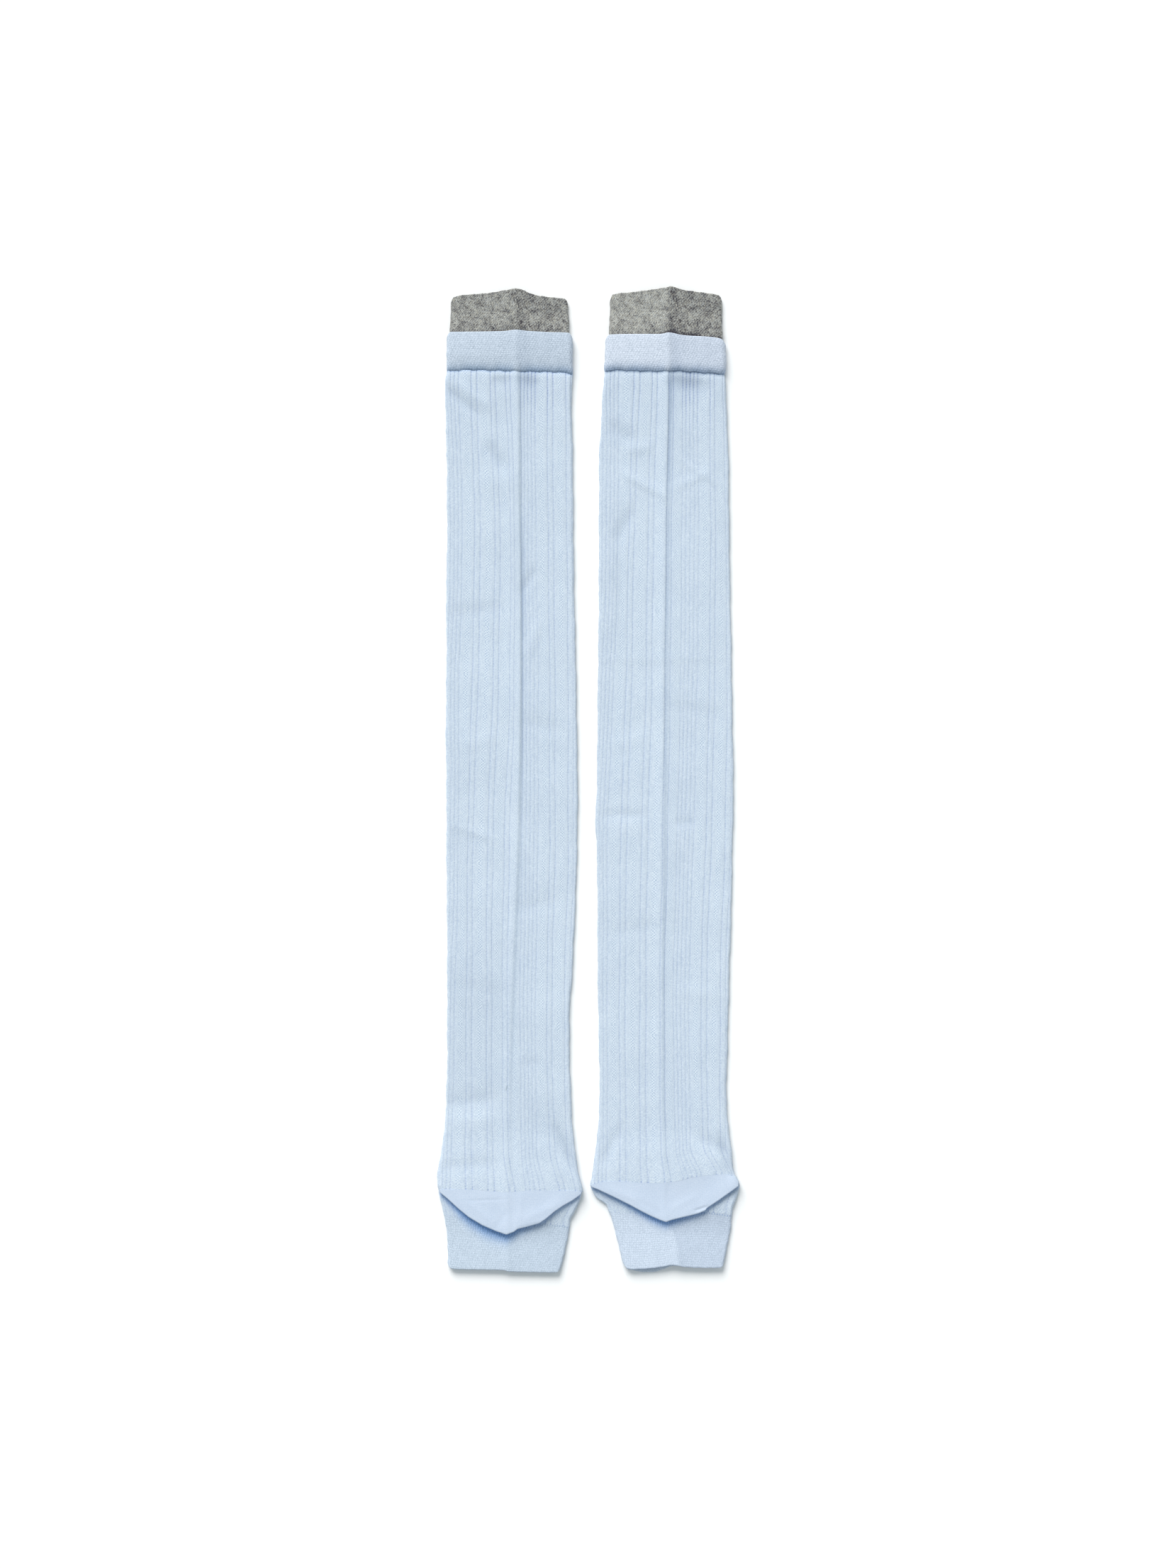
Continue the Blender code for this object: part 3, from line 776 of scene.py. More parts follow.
def rib_spread(side):
    """Places the columns of the leg so that each rib runs where the table says."""
    marks = {name: Curve(RIBS[side]["y"], RIBS[side][name]) for name in RIB_MARKS}

    def spread(middle, left, right, height, columns):
        radius = height / 2
        flat = (right - left) - height
        quarter = math.pi * radius / 2
        turn = 2 * flat + 4 * quarter
        width = 2 * quarter + flat
        q = [float(marks[name](middle)) - left - radius + quarter for name in RIB_MARKS]
        knit = list(RIB_MARKS.values())
        first = knit[0] - q[0] * 1.05
        last = knit[-1] + max(width - q[-1], 0.6) * 1.05
        knots_q = [0.0] + q + [width, turn]
        knots_k = [first] + knit + [last, first + REPEAT * REPEATS]
        place = np.mod(columns - first, REPEAT * REPEATS) + first
        q = Curve(knots_k, knots_q)(place)
        # Each rib wanders a little, and so do its neighbours, though not quite alike.
        wander = (0.16 * np.sin(2 * math.pi * (middle / 83.0 + place / 41.0))
                  + 0.06 * np.sin(2 * math.pi * (middle / 19.7 - place / 23.0)))
        return q + wander * np.clip(q / 4.0, 0, 1) * np.clip((turn - q) / 4.0, 0, 1)
    return spread


HOLE_DEPTH = 0.6        # how much deeper each groove is in the small hole where it ends
HOLE_SHADE = 1.2        # and how much more painted shade it gets there

# How far below the heel flap's edge the painted shadow reaches, and how deep it is.
FLAP_SHADE = {
    "left": table(
        "x      reach share",
        (-84.0, 2.2, 0.6),
        (-72.0, 4.6, 0.95),
        (-58.0, 5.6, 1.0),
        (-46.0, 4.6, 0.95),
        (-40.0, 3.6, 0.8),
        (-30.0, 2.6, 0.5),
        (-4.0, 1.8, 0.4)),
    "right": table(
        "x      reach share",
        (1.0, 1.6, 0.5),
        (20.0, 2.4, 0.8),
        (38.0, 3.4, 1.0),
        (48.0, 3.2, 0.9),
        (60.0, 2.4, 0.6),
        (85.0, 1.4, 0.4)),
}
# How much darker each sock's bands look right of the crease, turned a little from the light.
TURNED = {"left": 0.08, "right": 0.20}


def right_of_crease(side, x, y):
    """0 left of the pressed crease, 1 right of it."""
    return np.clip((x - CREASE_CURVES[side]["x"](y)) / 2.0, 0, 1)


def turned_half(side, folded=0.0, mouth=0.0):
    """Painted shade on a band: on its own right half, turned a little from the light, in the narrow
    dip beside the crease, and on the upper rim of a mouth that stands a little open left of it."""
    def turned(x, y, run, upper):
        away = x - CREASE_CURVES[side]["x"](y)
        dip = folded * np.exp(-((away - 4.0) / 4.0) ** 2)
        rim = mouth * np.exp(-((run[-1, 0] - run) / 0.45) ** 2) * np.clip(-away / 6.0, 0, 1)
        return upper * (TURNED[side] * right_of_crease(side, x, y) + dip + rim)
    return turned


def under_flap(side):
    """Painted shadow: 1 under the heel flap, fading out below its edge, where the yarn is painted a
    deeper blue.
    """
    bend_edge, rows = HEEL_EDGE[side], FLAP_SHADE[side]

    def shade(x, y, run, upper):
        below = np.clip(np.interp(x, bend_edge["x"], bend_edge["y"]) - y, 0, None)
        reach = np.interp(x, rows["x"], rows["reach"])
        return upper * np.interp(x, rows["x"], rows["share"]) * np.exp(-(below / reach) ** 2)
    return shade


def beside_band(side):
    """Painted shade on the inner cuff where it comes out of the band, beside the crease and right of
    it, and on the right sock a painted highlight left of the crease.
    """
    painted_light_left = {"left": 0.0, "right": 0.45}[side]

    def shade(x, y, run, upper):
        away = x - CREASE_CURVES[side]["x"](y)
        near = (1.2 + 0.9 * upper * np.exp(-((away - 5.0) / 9.0) ** 2)) * np.exp(
            -(np.clip(run[-1, 0] - 19.0 - run, 0, None) / 1.8))
        folded = 0.35 * np.exp(-((away - 2.0) / 2.5) ** 2) - painted_light_left * np.clip(-away / 3.0, 0, 1)
        return near + upper * (0.30 * right_of_crease(side, x, y) + folded)
    return shade


def open_at_crease(side, x, y):
    """1 along a seam, but 0 where the pressed crease carries it flat across."""
    away = x - CREASE_CURVES[side]["x"](y)
    return 1 - 0.85 * np.exp(-(away / 2.4) ** 2)


def above_seam(side):
    """Painted shade on the top band where it slopes down into its seam, stronger in some places than
    others.
    """
    start = 0.6 if side == "left" else 2.9

    def shade(x, y, run, upper):
        from_end = run[-1, 0] - run
        seam_shade_strength = 0.72 + 0.28 * np.sin(2 * math.pi * x / 37.0 + start) * np.sin(x / 5.3 + start)
        return 0.65 * seam_shade_strength * np.exp(-(from_end / 3.2) ** 2) * open_at_crease(side, x, y)
    return shade


def crease_shade_line(side, x, y):
    """The painted shade line at the pressed crease's right foot, here strong and there faint."""
    away = x - CREASE_CURVES[side]["x"](y)
    uneven = 0.78 + 0.22 * np.sin(y / 9.1) * np.sin(y / 23.0 + 1.0)
    core = np.exp(-((away - 1.7) / 0.62) ** 2) + 0.26 * np.exp(-((away - 2.6) / 2.6) ** 2)
    return CREASE_CURVES[side]["line"](y) * uneven * core


def leg_shade(side):
    """Painted shade on the leg, in a deeper blue: in its first row, as at the band's seam, and
    along the crease's right foot."""
    def shade(x, y, run, upper):
        first_row = 0.35 * np.exp(-(run / 0.8) ** 2) * open_at_crease(side, x, y)
        return np.clip(first_row + upper * 0.12 * crease_shade_line(side, x, y), 0, 1)
    return shade


# Painted shade over the lower leg's slow swells: x, y, half width and half length of each place, and
# how dark.
SHADE_PATCHES = {
    "left": ((-62.0, -140.0, 22.0, 45.0, 0.11), (-22.0, -202.0, 18.0, 22.0, 0.15)),
    "right": ((42.0, -190.0, 44.0, 40.0, 0.08),),
}


def leg_turned(side):
    """Painted shade on the leg, in a greyer blue: in its folds' troughs, along the crease's right
    foot, right of the crease just under the band, and in the shaded patches."""
    middle, wide = {"left": (6.0, 6.0), "right": (10.5, 8.5)}[side]

    def turned(x, y, run, upper):
        away = x - CREASE_CURVES[side]["x"](y)
        gathered = 0.27 * np.exp(-((away - middle) / wide) ** 2 - ((run - 4.5) / 9.0) ** 2)
        folded = 0.34 * np.clip(-fold_rise(side, x, y), 0, None)
        patch_shade = sum(share * np.exp(-((x - cx) / wide_x) ** 2 - ((y - cy) / long_y) ** 2)
                   for cx, cy, wide_x, long_y, share in SHADE_PATCHES[side])
        return upper * (gathered + folded + patch_shade + 0.36 * crease_shade_line(side, x, y))
    return turned


def seam_holes(side):
    """How open the join of foot and toe band is: most at the right."""
    first, last = (-34.0, -8.0) if side == "left" else (40.0, 66.0)

    def holes(x, y, run, upper):
        return np.exp(-((run - 0.5) / 0.45) ** 2) * np.clip((x - first) / (last - first), 0, 1)
    return holes


def leg_groove(knit, y, from_end):
    """The grooves are deepest where the band gathers the leg, and in the holes at their ends."""
    gathered = (GROOVE_TOP - 1) * math.exp(-((231 - y) / 34.0) ** 2)
    return groove_depth(knit) * (1 + gathered + HOLE_DEPTH * math.exp(-(from_end / 0.8) ** 2))


def foot_groove(knit, y, from_end):
    """The short foot is stretched, so its grooves are shallow."""
    return 0.6 * groove_depth(knit)


def leg_rise(side):
    def rise(x, y):
        return crease_rise(side, x, y) + fold_rise(side, x, y) + swell_rise(side, x, y)
    return rise


def plain_rise(side, swell):
    def rise(x, y):
        return crease_rise(side, x, y) + swell * swell_rise(side, x, y)
    return rise


def foot_swell(side, x, y):
    """The foot swells up under the flap's edge towards its right side fold, and the toe band's
    first rows with it."""
    start, full = {"left": (-38.0, 1.0), "right": (30.0, 0.9)}[side]
    share = np.clip((x - start) / 14.0, 0, 1)
    return (0.25 + full * share * share * (3 - 2 * share)) * np.exp(-((y + 240) / 9.0) ** 2)


def toe_rise(side):
    def rise(x, y):
        return crease_rise(side, x, y) * np.clip((-246.0 - y) / 8.0, 0, 1) + foot_swell(side, x, y)
    return rise


RIM_ENDS = (0.0, 0.08, 0.22, 0.4, 0.62, 0.9, 1.4, 2.1, 3.0, 4.1, 5.4)


def leg(side):
    edges = EDGES[side]
    length = edges["band_seam"](0.5) - edges["heel_line"](0.5) - (SEAM + LINKED) / 2
    columns = rib_columns(-4.0, 87.0)
    rows = stations(length, 1.9, RIM_ENDS)
    return tube(side, "leg", LEG[side], edges["band_seam"], edges["heel_line"], LEG_WALL,
                columns, rib_spread(side), rows, leg_rise(side), (0.35, 0.0),
                groove=leg_groove, start_gap=SEAM / 2, end_gap=LINKED / 2, row_step=8,
                shade=leg_shade(side), turned=leg_turned(side), joined=(1.0, 0.0))


def welt(side, piece, outline, start, end, wall, step, rims, rise, **more):
    """A band or cuff: a tube of even columns."""
    edges = EDGES[side]
    gap = more.get("start_gap", 0.0) + more.get("end_gap", 0.0)
    length = edges[start](0.5) - edges[end](0.5) - gap
    middle = (edges[start](0.5) + edges[end](0.5)) / 2
    lines = curves(outline)
    turn = 2 * float(lines["right"](middle) - lines["left"](middle))
    count = int(round(turn / step / 4)) * 4
    columns = np.arange(count) * (turn / count)
    rows = stations(length, step * 1.2, RIM_ENDS)
    return tube(side, piece, outline, edges[start], edges[end], wall, columns, even_spread,
                rows, rise, rims, **more)


def foot(side):
    edges = EDGES[side]
    length = edges["heel_line"](0.5) - edges["toe_seam"](0.5) - LINKED
    columns = rib_columns(-4.0, 87.0)
    rows = stations(length, 1.2, RIM_ENDS)

    def spread(middle, left, right, height, places):
        radius = height / 2
        flat = (right - left) - height
        quarter = math.pi * radius / 2
        turn = 2 * flat + 4 * quarter
        first, last = 2.0, 80.5
        place = np.mod(places - first, REPEAT * REPEATS) + first
        return np.interp(place, [first, last, first + REPEAT * REPEATS],
                         [0.0, 2 * quarter + flat, turn])

    def rise(x, y):
        return foot_swell(side, x, y)
    return tube(side, "foot", FOOT[side], edges["heel_line"], edges["toe_seam"], LEG_WALL,
                columns, spread, rows, rise, (0.0, 0.04), groove=foot_groove,
                start_gap=LINKED / 2, end_gap=LINKED / 2, shade=under_flap(side))


HEEL_WALL = 0.8         # the heel is knitted finer than the leg
HEEL_LOW = 3.3          # underside of the flap, over the foot
HEEL_BEND = 0.7         # length of the rounded fold
HEEL_CURL = 0.8         # how much the flap's edge stands up off the foot
HEEL_CURL_REACH = 9.0   # how far back from the edge that begins


def heel(side):
    """The heel pocket folded flat: an upper and a lower panel that meet in the flap's edge."""
    edges = EDGES[side]
    lines = curves(LEG[side])
    line = edges["heel_line"]
    left = float(lines["left"](line(0.0)))
    right = float(lines["right"](line(1.0)))
    bend_edge = HEEL_EDGE[side]
    start, stop = bend_edge["x"][0] + 0.7, bend_edge["x"][-1] - 0.7
    count = int(round((stop - start) / 0.55))
    x = np.linspace(start, stop, count + 1)
    fine = np.linspace(start, stop, 4 * count + 1)
    fold_line = np.interp(fine, bend_edge["x"], bend_edge["y"])
    kernel = np.array([1, 2, 3, 2, 1]) / 9.0
    padded = np.concatenate([[fold_line[0]] * 2, fold_line, [fold_line[-1]] * 2])
    fold = np.convolve(padded, kernel, "valid")[::4]
    lip_y = line((x - left) / (right - left)) - LINKED / 2
    fold = np.minimum(fold, lip_y - 0.9)
    reach = lip_y - fold
    bend = np.minimum(HEEL_BEND, 0.8 * reach)
    height = float(lines["height"](line(0.5)))
    radius = (height - HEEL_LOW) / 2.0
    middle = HEEL_LOW + radius

    upper = [0.0, 0.05, 0.15, 0.3, 0.5, 0.8, 1.2, 1.8, 2.5]
    shares = np.concatenate([np.array(upper) / 22.0, np.linspace(0.15, 0.97, 26), [1.0]])
    angles = np.radians(np.linspace(90, -90, 13))[1:]
    lower_shares = np.linspace(1.0, 0.0, 14)[1:]
    outer, inner, run = [], [], []
    # The curl fades towards the flap's two corners, where it is held down at the side folds.
    held = np.clip(reach / 9.0, 0, 1) ** 0.7

    def curl(away):
        return HEEL_CURL * held * np.exp(-(away / HEEL_CURL_REACH) ** 2)

    def rise(xs, ys):
        near = np.clip(1 - (lip_y - ys) / 9.0, 0, 1) ** 2
        top = crease_rise(side, xs, ys) + (0.25 + 0.75 * near) * swell_rise(side, xs, ys)
        return top + fold_rise(side, xs, ys) + heel_folds(side, xs, ys)

    for share in shares:
        away = (reach - bend) * (1 - share)
        y = fold + bend + away
        z = middle + radius + rise(x, y) + curl(away)
        outer.append(np.stack([x, y, z], -1))
        inner.append(np.stack([x, y, z - HEEL_WALL], -1))
        run.append(lip_y - y)
    for angle in angles:
        for offset, target in ((0.0, outer), (HEEL_WALL, inner)):
            size = np.maximum(bend - offset, 0.12)
            y = fold + bend - size * math.cos(angle)
            z = middle + (radius - offset) * math.sin(angle)
            z = z + curl(0.0) + rise(x, fold + bend) * max(math.sin(angle), 0.0)
            target.append(np.stack([x, y, z], -1))
        run.append(run[-1] + 0.3)
    for share in lower_shares:
        away = (reach - bend) * (1 - share)
        y = fold + bend + away
        z = middle - radius + curl(away) + 0.0 * x
        outer.append(np.stack([x, y, z], -1))
        inner.append(np.stack([x, y, z + HEEL_WALL], -1))
        run.append(run[-1] + (reach - bend) / len(lower_shares))
    outer, inner, run = np.array(outer), np.array(inner), np.array(run)
    # Painted shade round the flap's fold and on its lower panel.
    turned = 0.25 * np.clip((np.arange(len(outer)) - len(shares)) / 6.0, 0, 1)
    marks = {"shade": np.broadcast_to(turned[:, None], outer.shape[:2])}
    return grid_shell(f"{side}_heel_cloth", outer, inner, (x, run), marks, False, 2, 3)


def heel_folds(side, x, y):
    """The heel's own small folds: the gore's edge beside the point, and a faint line across."""
    if side == "left":
        rows = ((-57.0, -236.8, 22.0, 2, -0.14, 0.6, 0.6),
                (-33.0, -251.0, 14.0, 14, -0.22, 0.7, 0.5),
                (-26.0, -243.0, 22.0, 24, 0.16, 2.6, 2.0),
                (-62.0, -243.0, 20.0, -38, 0.12, 2.0, 1.6),
                (-50.0, -249.0, 12.0, 55, -0.12, 1.6, 1.6),
                (-38.0, -241.0, 15.0, 84, 0.10, 1.8, 1.4))
    else:
        rows = ((63.4, -241.4, 8.5, 19, -0.38, 0.45, 0.9),
                (72.0, -238.6, 18.0, 35, 0.12, 1.2, 0.8),
                (20.0, -234.0, 20.0, -22, 0.14, 2.2, 1.8),
                (34.0, -240.5, 15.0, -30, -0.12, 1.6, 1.4),
                (54.0, -238.0, 16.0, 26, 0.13, 2.2, 1.8),
                (44.0, -235.0, 14.0, 88, -0.10, 1.2, 1.8))
    total = np.zeros_like(x)
    for cx, cy, long, turn, high, over, under in rows:
        turn = math.radians(turn)
        along = (x - cx) * math.cos(turn) + (y - cy) * math.sin(turn)
        across = (y - cy) * math.cos(turn) - (x - cx) * math.sin(turn)
        width = np.where(across > 0, over, under)
        total = total + high * np.exp(-(across / width) ** 2 - (2 * along / long) ** 4)
    return total


# ---------------------------------------------------------------- knit materials
class Knit:
    """A cloth material: its node tree, with short calls for the nodes that the knits share."""

    def __init__(self, name, roughness, sheen):
        self.material = bpy.data.materials.new(name)
        self.material.use_nodes = True
        self.tree = self.material.node_tree
        self.shader = self.tree.nodes["Principled BSDF"]
        self.shader.inputs["Roughness"].default_value = roughness
        self.shader.inputs["Specular IOR Level"].default_value = 0.18
        self.shader.inputs["Sheen Weight"].default_value = sheen
        self.shader.inputs["Sheen Roughness"].default_value = 0.6
        pin = self.tree.nodes.new("ShaderNodeUVMap")
        pin.uv_map = "Knit"
        self.place = pin.outputs["UV"]
        split = self.tree.nodes.new("ShaderNodeSeparateXYZ")
        self.link(self.place, split.inputs[0])
        self.u, self.v = split.outputs[0], split.outputs[1]
        # Noise is read at a slant, so that its own grid doesn't line up with the rows.
        self.slanted = self.join(self.add(self.times(self.u, 0.80), self.times(self.v, -0.60)),
                                 self.add(self.times(self.u, 0.60), self.times(self.v, 0.80)), 0.43)

    def link(self, a, b):
        self.tree.links.new(a, b)

    def put(self, value, socket):
        if isinstance(value, (int, float)):
            socket.default_value = value
        elif isinstance(value, tuple):
            socket.default_value = (*value, 1.0)
        else:
            self.link(value, socket)

    def math(self, operation, *values, clamp=False):
        node = self.tree.nodes.new("ShaderNodeMath")
        node.operation = operation
        node.use_clamp = clamp
        for value, socket in zip(values, node.inputs):
            self.put(value, socket)
        return node.outputs[0]

    def add(self, a, b):
        return self.math("ADD", a, b)

    def times(self, a, b):
        return self.math("MULTIPLY", a, b)

    def wave(self, value, length):
        """sin of a full turn each length."""
        return self.math("SINE", self.times(value, 2 * math.pi / length))

    def mark(self, name):
        node = self.tree.nodes.new("ShaderNodeAttribute")
        node.attribute_name = name
        return node.outputs["Fac"]

    def join(self, x, y, z=0.0):
        node = self.tree.nodes.new("ShaderNodeCombineXYZ")
        for value, socket in zip((x, y, z), node.inputs):
            self.put(value, socket)
        return node.outputs[0]

    def noise(self, scale, detail=2.0, roughness=0.5, where=None):
        """Noise from -1 to 1, about."""
        node = self.tree.nodes.new("ShaderNodeTexNoise")
        self.link(where or self.slanted, node.inputs["Vector"])
        node.inputs["Scale"].default_value = scale
        node.inputs["Detail"].default_value = detail
        node.inputs["Roughness"].default_value = roughness
        return self.math("MULTIPLY_ADD", node.outputs["Fac"], 2.0, -1.0)

    def mix(self, share, a, b, kind="MIX"):
        node = self.tree.nodes.new("ShaderNodeMix")
        node.data_type = "RGBA"
        node.blend_type = kind
        self.put(share, node.inputs["Factor"])
        self.put(a, node.inputs["A"])
        self.put(b, node.inputs["B"])
        return node.outputs["Result"]

    def tint(self, share, colour, by):
        """The colour, towards its product with another as share rises."""
        return self.mix(share, colour, by, "MULTIPLY")

    def blend(self, share, a, b):
        """A number from a to b."""
        return self.add(self.times(a, self.math("SUBTRACT", 1.0, share)), self.times(b, share))

    def spot(self, x, y, long, wide, turn):
        """Up to 1 inside a slanted oval on the upper layer, 0 outside it: the place in the model's
        frame of its middle, its half length and half width, and its turn in degrees."""
        pin = self.tree.nodes.new("ShaderNodeTexCoord")
        split = self.tree.nodes.new("ShaderNodeSeparateXYZ")
        self.link(pin.outputs["Object"], split.inputs[0])
        dx = self.math("MULTIPLY_ADD", split.outputs[0], 1 / MM, -x)
        dy = self.math("MULTIPLY_ADD", split.outputs[1], 1 / MM, -y)
        turn = math.radians(turn)
        along = self.add(self.times(dx, math.cos(turn) / long), self.times(dy, math.sin(turn) / long))
        across = self.add(self.times(dx, -math.sin(turn) / wide),
                          self.times(dy, math.cos(turn) / wide))
        away = self.add(self.times(along, along), self.times(across, across))
        inside = self.math("SUBTRACT", 1.3, away, clamp=True)
        return self.times(inside, self.math("GREATER_THAN", split.outputs[2], 1.9 * MM))

    def finish(self, colour, height, distance):
        """Base colour, and the stitches' relief: height 1 stands distance mm proud."""
        self.put(colour, self.shader.inputs["Base Color"])
        bump = self.tree.nodes.new("ShaderNodeBump")
        bump.inputs["Strength"].default_value = 1.0
        bump.inputs["Distance"].default_value = distance * MM
        self.link(height, bump.inputs["Height"])
        self.link(bump.outputs["Normal"], self.shader.inputs["Normal"])
        return self.material


def stitches(knit, wale, course, slant=1.0):
    """Plain knit: rows of small V shapes, one column to a wale."""
    u = knit.add(knit.u, knit.times(knit.noise(0.35, 1.0), 0.10))
    v = knit.add(knit.v, knit.times(knit.noise(0.45, 1.0), 0.16))
    columns = knit.times(u, 1.0 / wale)
    half = knit.math("PINGPONG", columns, 0.5)
    vee = knit.math("SINE", knit.times(knit.add(knit.times(v, 1.0 / course),
                                                knit.times(half, slant)), 2 * math.pi))
    valley = knit.math("COSINE", knit.times(columns, 2 * math.pi))
    return vee, valley


GROOVE_SHADE_TINT = (0.42, 0.49, 0.74)        # painted shade of the yarn deep in a rib groove
DEEP_SHADE_TINT = (0.42, 0.66, 1.04)        # painted shade under the heel flap, on the crease's line and in the heel's fold
SEAM_SHADE_TINT = (0.50, 0.64, 0.82)          # painted shade where the band slopes down into its seam
TURNED_TINT = (0.48, 0.53, 0.61)        # cloth turned from the light, in folds and past the crease


def rib_knit():
    knit = Knit("rib_knit", 0.88, 0.12)
    vee, valley = stitches(knit, 0.767, 0.80, 1.1)
    plain = knit.add(knit.times(vee, 0.26), knit.times(valley, -0.14))
    # Openwork: slanting stitches that turn back and forth down each column.
    u = knit.add(knit.u, knit.times(knit.noise(0.9, 1.0), 0.14))
    run = knit.add(knit.v, knit.mark("start"))
    run = knit.add(run, knit.times(knit.noise(0.2, 1.0), 0.9))
    turning = knit.math("PINGPONG", run, ZIGZAG_RUN)
    stroke = knit.wave(knit.add(u, turning), ZIGZAG_STEP)
    bead = knit.wave(knit.math("SUBTRACT", u, turning), ZIGZAG_STEP)
    stroke = knit.add(knit.times(stroke, 0.50), knit.times(bead, 0.31))
    open_share = knit.mark("zigzag")
    relief = knit.blend(open_share, plain, knit.times(stroke, 0.45))
    fibre = knit.times(knit.noise(1.35, 3.0, 0.72),
                       knit.math("MULTIPLY_ADD", open_share, -0.35, 1.0))
    streak = knit.noise(1.0, 2.0, 0.6, knit.join(knit.u, knit.times(knit.v, 0.10)))
    relief = knit.add(relief, knit.times(fibre, 1.1))
    slow = knit.noise(0.045, 2.0)
    tone = knit.add(knit.times(fibre, 0.70), knit.times(slow, 0.08))
    tone = knit.add(tone, knit.times(streak, 0.15))
    mesh = knit.math("MULTIPLY_ADD", stroke, 0.64, -0.04)
    tone = knit.add(tone, knit.times(mesh, open_share))
    tone = knit.add(tone, knit.times(plain, 0.16))
    share = knit.math("MULTIPLY_ADD", tone, 1.0, 0.58, clamp=True)
    colour = knit.mix(share, (0.345, 0.438, 0.583), (0.724, 0.798, 0.866))
    # The grooves are painted as a row of small dots of shade, some darker than others.
    down = knit.add(knit.add(knit.v, knit.times(knit.u, 0.31)), knit.times(fibre, 0.6))
    # Where they are deepest, under the band, they run together into a line.
    depth = knit.mark("groove_shade")
    dots = knit.math("DIVIDE", knit.times(knit.wave(down, 1.52), 0.21),
                     knit.math("MAXIMUM", depth, 1.0))
    dots = knit.add(knit.add(dots, 0.29), knit.times(knit.noise(0.22, 3.0), 0.34))
    dots = knit.add(dots, knit.times(fibre, 0.32))
    gap = knit.math("MULTIPLY", depth, dots, clamp=True)
    colour = knit.tint(gap, colour, GROOVE_SHADE_TINT)
    # Painted shade: deep blue under the heel flap, in the leg's first row and along the crease's
    # line; greyer in the folds, past the crease and in the shaded patches.
    colour = knit.tint(knit.mark("shade"), colour, DEEP_SHADE_TINT)
    colour = knit.tint(knit.mark("turned"), colour, TURNED_TINT)
    # One fleck of grey yarn is caught in the left leg.
    colour = knit.mix(knit.spot(-46.1, -173.8, 1.8, 0.48, 74), colour, (0.38, 0.46, 0.55))
    return knit.finish(colour, relief, 0.095)


def plain_knit():
    knit = Knit("heel_knit", 0.86, 0.12)
    vee, valley = stitches(knit, 0.62, 0.55, 1.0)
    fibre = knit.noise(1.7, 3.0, 0.70)
    relief = knit.add(knit.times(vee, 0.26), knit.times(valley, -0.13))
    relief = knit.add(relief, knit.times(fibre, 0.60))
    tone = knit.add(knit.times(relief, 0.42), knit.times(knit.noise(0.05, 2.0), 0.14))
    tone = knit.add(tone, knit.times(fibre, 0.20))
    share = knit.math("MULTIPLY_ADD", tone, 1.0, 0.56, clamp=True)
    colour = knit.mix(share, (0.368, 0.468, 0.612), (0.662, 0.724, 0.833))
    # Painted shade round the heel flap's fold.
    colour = knit.tint(knit.mark("shade"), colour, DEEP_SHADE_TINT)
    return knit.finish(colour, relief, 0.06)


def welt_knit(name, across, along, lean, loops, rows, rough, light, deep):
    """The bands: rows and columns of small slanting loops, none quite in line. loops and rows:
    how much they show, rough: how hairy the yarn is, light: the colour of their raised yarn,
    deep: what it is multiplied by where the band is shaded."""
    knit = Knit(name, 0.90, 0.12)
    u = knit.add(knit.u, knit.times(knit.noise(0.50, 2.0), 0.60))
    v = knit.add(knit.v, knit.times(knit.noise(0.60, 2.0), 0.55))
    slant = knit.wave(knit.add(u, knit.times(v, lean)), across)
    row = knit.wave(v, along)
    loop = knit.times(slant, knit.math("MULTIPLY_ADD", row, 0.45, 0.55))
    fibre = knit.times(knit.noise(1.40, 3.0, 0.74), rough)
    patchy = knit.math("MULTIPLY_ADD", knit.noise(0.16, 2.0), 0.9, 0.85, clamp=True)
    relief = knit.times(knit.add(knit.times(loop, loops), knit.times(row, rows)), patchy)
    relief = knit.add(relief, knit.times(fibre, 0.9))
    tone = knit.add(knit.times(relief, 0.48), knit.times(fibre, 0.55))
    tone = knit.add(tone, knit.times(knit.noise(0.06, 2.0), 0.08))
    # The loops show most where the painted shade lies: at the top band's seam, and under the heel
    # flap.
    tone = knit.add(tone, knit.times(knit.mark("shade"), knit.times(knit.add(loop, fibre), 0.30)))
    share = knit.math("MULTIPLY_ADD", tone, 1.0, 0.53, clamp=True)
    colour = knit.mix(share, tuple(0.60 * part + 0.02 * i for i, part in enumerate(light)),
                      tuple(1.16 * part - 0.01 * i for i, part in enumerate(light)))
    # Small holes in a row where a band is joined to the foot.
    hole = knit.math("MULTIPLY_ADD", knit.wave(knit.u, 1.3), 1.1, -0.15)
    hole = knit.math("MULTIPLY", knit.mark("holes"), hole, clamp=True)
    colour = knit.tint(hole, colour, (0.42, 0.55, 0.76))
    # Painted shade: at the top band's seam or under the heel flap, and greyer past the crease and in
    # the toe's open mouth.
    colour = knit.tint(knit.mark("shade"), colour, deep)
    colour = knit.tint(knit.mark("turned"), colour, TURNED_TINT)
    return knit.finish(colour, relief, 0.10)


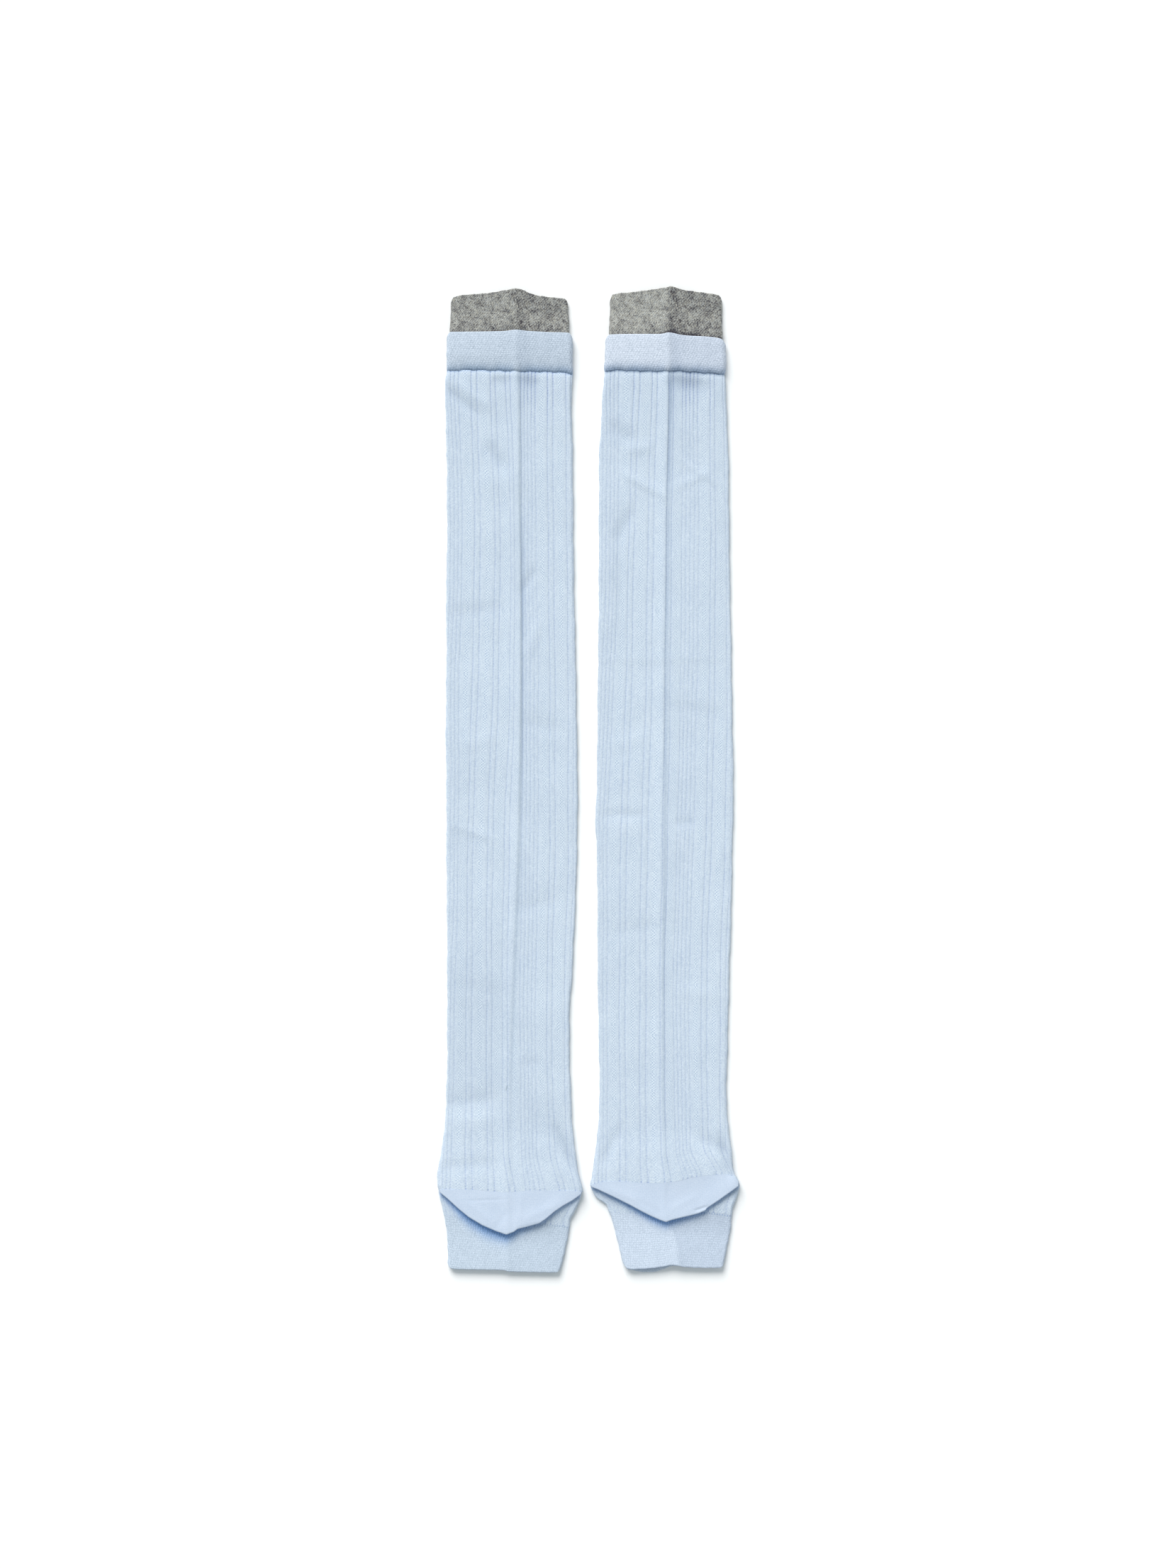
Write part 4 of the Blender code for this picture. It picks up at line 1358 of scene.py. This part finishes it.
def marl_knit():
    """Grey marl: yarns of different greys, so each stitch has its own tone."""
    knit = Knit("grey_marl_knit", 0.92, 0.15)
    u = knit.add(knit.u, knit.times(knit.noise(0.7, 2.0), 0.45))
    v = knit.add(knit.v, knit.times(knit.noise(0.8, 2.0), 0.45))
    fleck = knit.tree.nodes.new("ShaderNodeTexVoronoi")
    knit.link(knit.join(u, knit.times(v, 0.8)), fleck.inputs["Vector"])
    fleck.inputs["Scale"].default_value = 2.0
    split = knit.tree.nodes.new("ShaderNodeSeparateColor")
    knit.link(fleck.outputs["Color"], split.inputs[0])
    grain = knit.math("MULTIPLY_ADD", split.outputs[0], 2.0, -1.0)
    # Its loops lean.
    loop = knit.wave(knit.add(u, knit.times(v, 0.85)), 1.45)
    loop = knit.times(loop, knit.math("MULTIPLY_ADD", knit.wave(v, 1.25), 0.45, 0.55))
    fibre = knit.noise(1.45, 3.0, 0.80)
    patch = knit.noise(0.24, 3.0, 0.6)
    relief = knit.add(knit.times(loop, 0.24), knit.times(fibre, 1.2))
    tone = knit.add(knit.times(grain, 0.17), knit.times(patch, 0.56))
    tone = knit.add(tone, knit.times(relief, 0.72))
    # Painted shade from the shade mark, and painted light where it is below zero.
    tone = knit.add(tone, knit.times(knit.mark("shade"), -0.22))
    share = knit.math("MULTIPLY_ADD", tone, 1.0, 0.447, clamp=True)
    # Some of its yarns are warmer, some cooler.
    warm = knit.math("MULTIPLY_ADD", split.outputs[1], 1.0, 0.0, clamp=True)
    light = knit.mix(warm, (0.545, 0.560, 0.545), (0.580, 0.565, 0.490))
    dark = knit.mix(warm, (0.036, 0.036, 0.050), (0.046, 0.038, 0.044))
    return knit.finish(knit.mix(share, dark, light), relief, 0.14)


# ---------------------------------------------------------------- the twelve pieces
rib, plain, marl = rib_knit(), plain_knit(), marl_knit()
# The right sock's top and toe bands are painted lighter than the left's: the same yarn, lit
# differently.
top_welts = {"left": welt_knit("left_top_band_knit", 1.48, 1.18, 0.45, 0.44, 0.20, 1.0,
                               (0.570, 0.644, 0.746), SEAM_SHADE_TINT),
             "right": welt_knit("right_top_band_knit_painted_lighter", 1.48, 1.18, 0.45, 0.44, 0.20, 1.0,
                                (0.646, 0.704, 0.807), SEAM_SHADE_TINT)}
toe_welts = {"left": welt_knit("left_toe_band_knit", 1.32, 1.24, 0.25, 0.32, 0.16, 0.80,
                               (0.560, 0.645, 0.752), DEEP_SHADE_TINT),
             "right": welt_knit("right_toe_band_knit_painted_lighter", 1.28, 1.20, 0.24, 0.30, 0.18, 0.72,
                                (0.600, 0.678, 0.795), DEEP_SHADE_TINT)}

for side in ("left", "right"):
    made = {
        "inner_cuff": (welt(side, "inner_cuff", CUFF[side], "cuff_end", "band_seam", CUFF_WALL,
                            0.53, (0.42, 0.2), plain_rise(side, 0.6), end_gap=CUFF_HIDDEN,
                            loops=(0.22, 0.0), shade=beside_band(side)), marl, "inner_cuff"),
        "top_band": (welt(side, "top_band", BAND[side], "band_top", "band_seam", BAND_WALL,
                          0.7, (0.5, 0.4), plain_rise(side, 0.7), end_gap=SEAM / 2,
                          shade=above_seam(side), turned=turned_half(side, 0.12),
                          joined=(0.0, 1.0)),
                     top_welts[side], "top_band"),
        "leg": (leg(side), rib, "rib_knit"),
        "heel": (heel(side), plain, "heel"),
        "foot": (foot(side), rib, "rib_knit"),
        "toe_band": (welt(side, "toe_band", TOE[side], "toe_seam", "toe_end", TOE_WALL,
                          0.6, (0.04, 0.5), toe_rise(side), start_gap=LINKED / 2,
                          loops=(0.0, 0.14),
                          end_low=EDGES[side]["toe_end_low"],
                          shade=under_flap(side),
                          turned=turned_half(side, 0.0, {"left": 0.0, "right": 0.8}[side]),
                          holes=seam_holes(side)), toe_welts[side], "toe_band"),
    }
    for piece, (cloth, material, finish) in made.items():
        cloth.data.materials.append(material)
        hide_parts(f"{side}_{piece}")
        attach(cloth, "root")


# ---------------------------------------------------------------- floor, light and camera
def floor():
    mesh = bpy.data.meshes.new("floor")
    size = 3.0
    mesh.from_pydata([(-size, -size, -0.0002), (size, -size, -0.0002),
                      (size, size, -0.0002), (-size, size, -0.0002)], [], [(0, 1, 2, 3)])
    material = bpy.data.materials.new("white_floor")
    material.use_nodes = True
    shader = material.node_tree.nodes["Principled BSDF"]
    shader.inputs["Base Color"].default_value = (0.93, 0.93, 0.93, 1.0)
    shader.inputs["Roughness"].default_value = 0.95
    shader.inputs["Specular IOR Level"].default_value = 0.0
    mesh.materials.append(material)
    thing = bpy.data.objects.new("floor", mesh)
    bpy.context.scene.collection.objects.link(thing)


def lights():
    world = bpy.data.worlds.new("studio")
    world.use_nodes = True
    back = world.node_tree.nodes["Background"]
    back.inputs["Color"].default_value = (0.86, 0.96, 1.0, 1.0)
    back.inputs["Strength"].default_value = 0.52
    bpy.context.scene.world = world
    lamp = bpy.data.lights.new("key", "SUN")
    lamp.energy = 3.6
    lamp.angle = math.radians(40)
    lamp.color = (1.0, 0.98, 0.96)
    key = bpy.data.objects.new("key", lamp)
    turn, lift = math.radians(109), math.radians(36)
    towards = (math.cos(turn) * math.cos(lift), math.sin(turn) * math.cos(lift), math.sin(lift))
    key.rotation_euler = Vector(towards).to_track_quat("Z", "Y").to_euler()
    bpy.context.scene.collection.objects.link(key)


def camera():
    lens = bpy.data.cameras.new("camera")
    lens.type = "PERSP"
    lens.sensor_fit = "AUTO"
    lens.sensor_width = 36.0
    distance = 2.5
    lens.lens = 36.0 * distance / 0.8848
    lens.clip_start, lens.clip_end = 0.1, 20.0
    thing = bpy.data.objects.new("camera", lens)
    thing.location = (-0.0003, -0.0025, distance)
    bpy.context.scene.collection.objects.link(thing)
    bpy.context.scene.camera = thing


floor()
lights()
camera()
look = bpy.context.scene.view_settings
look.view_transform = "Standard"
look.look = "None"
look.exposure = 0.0
look.gamma = 1.0
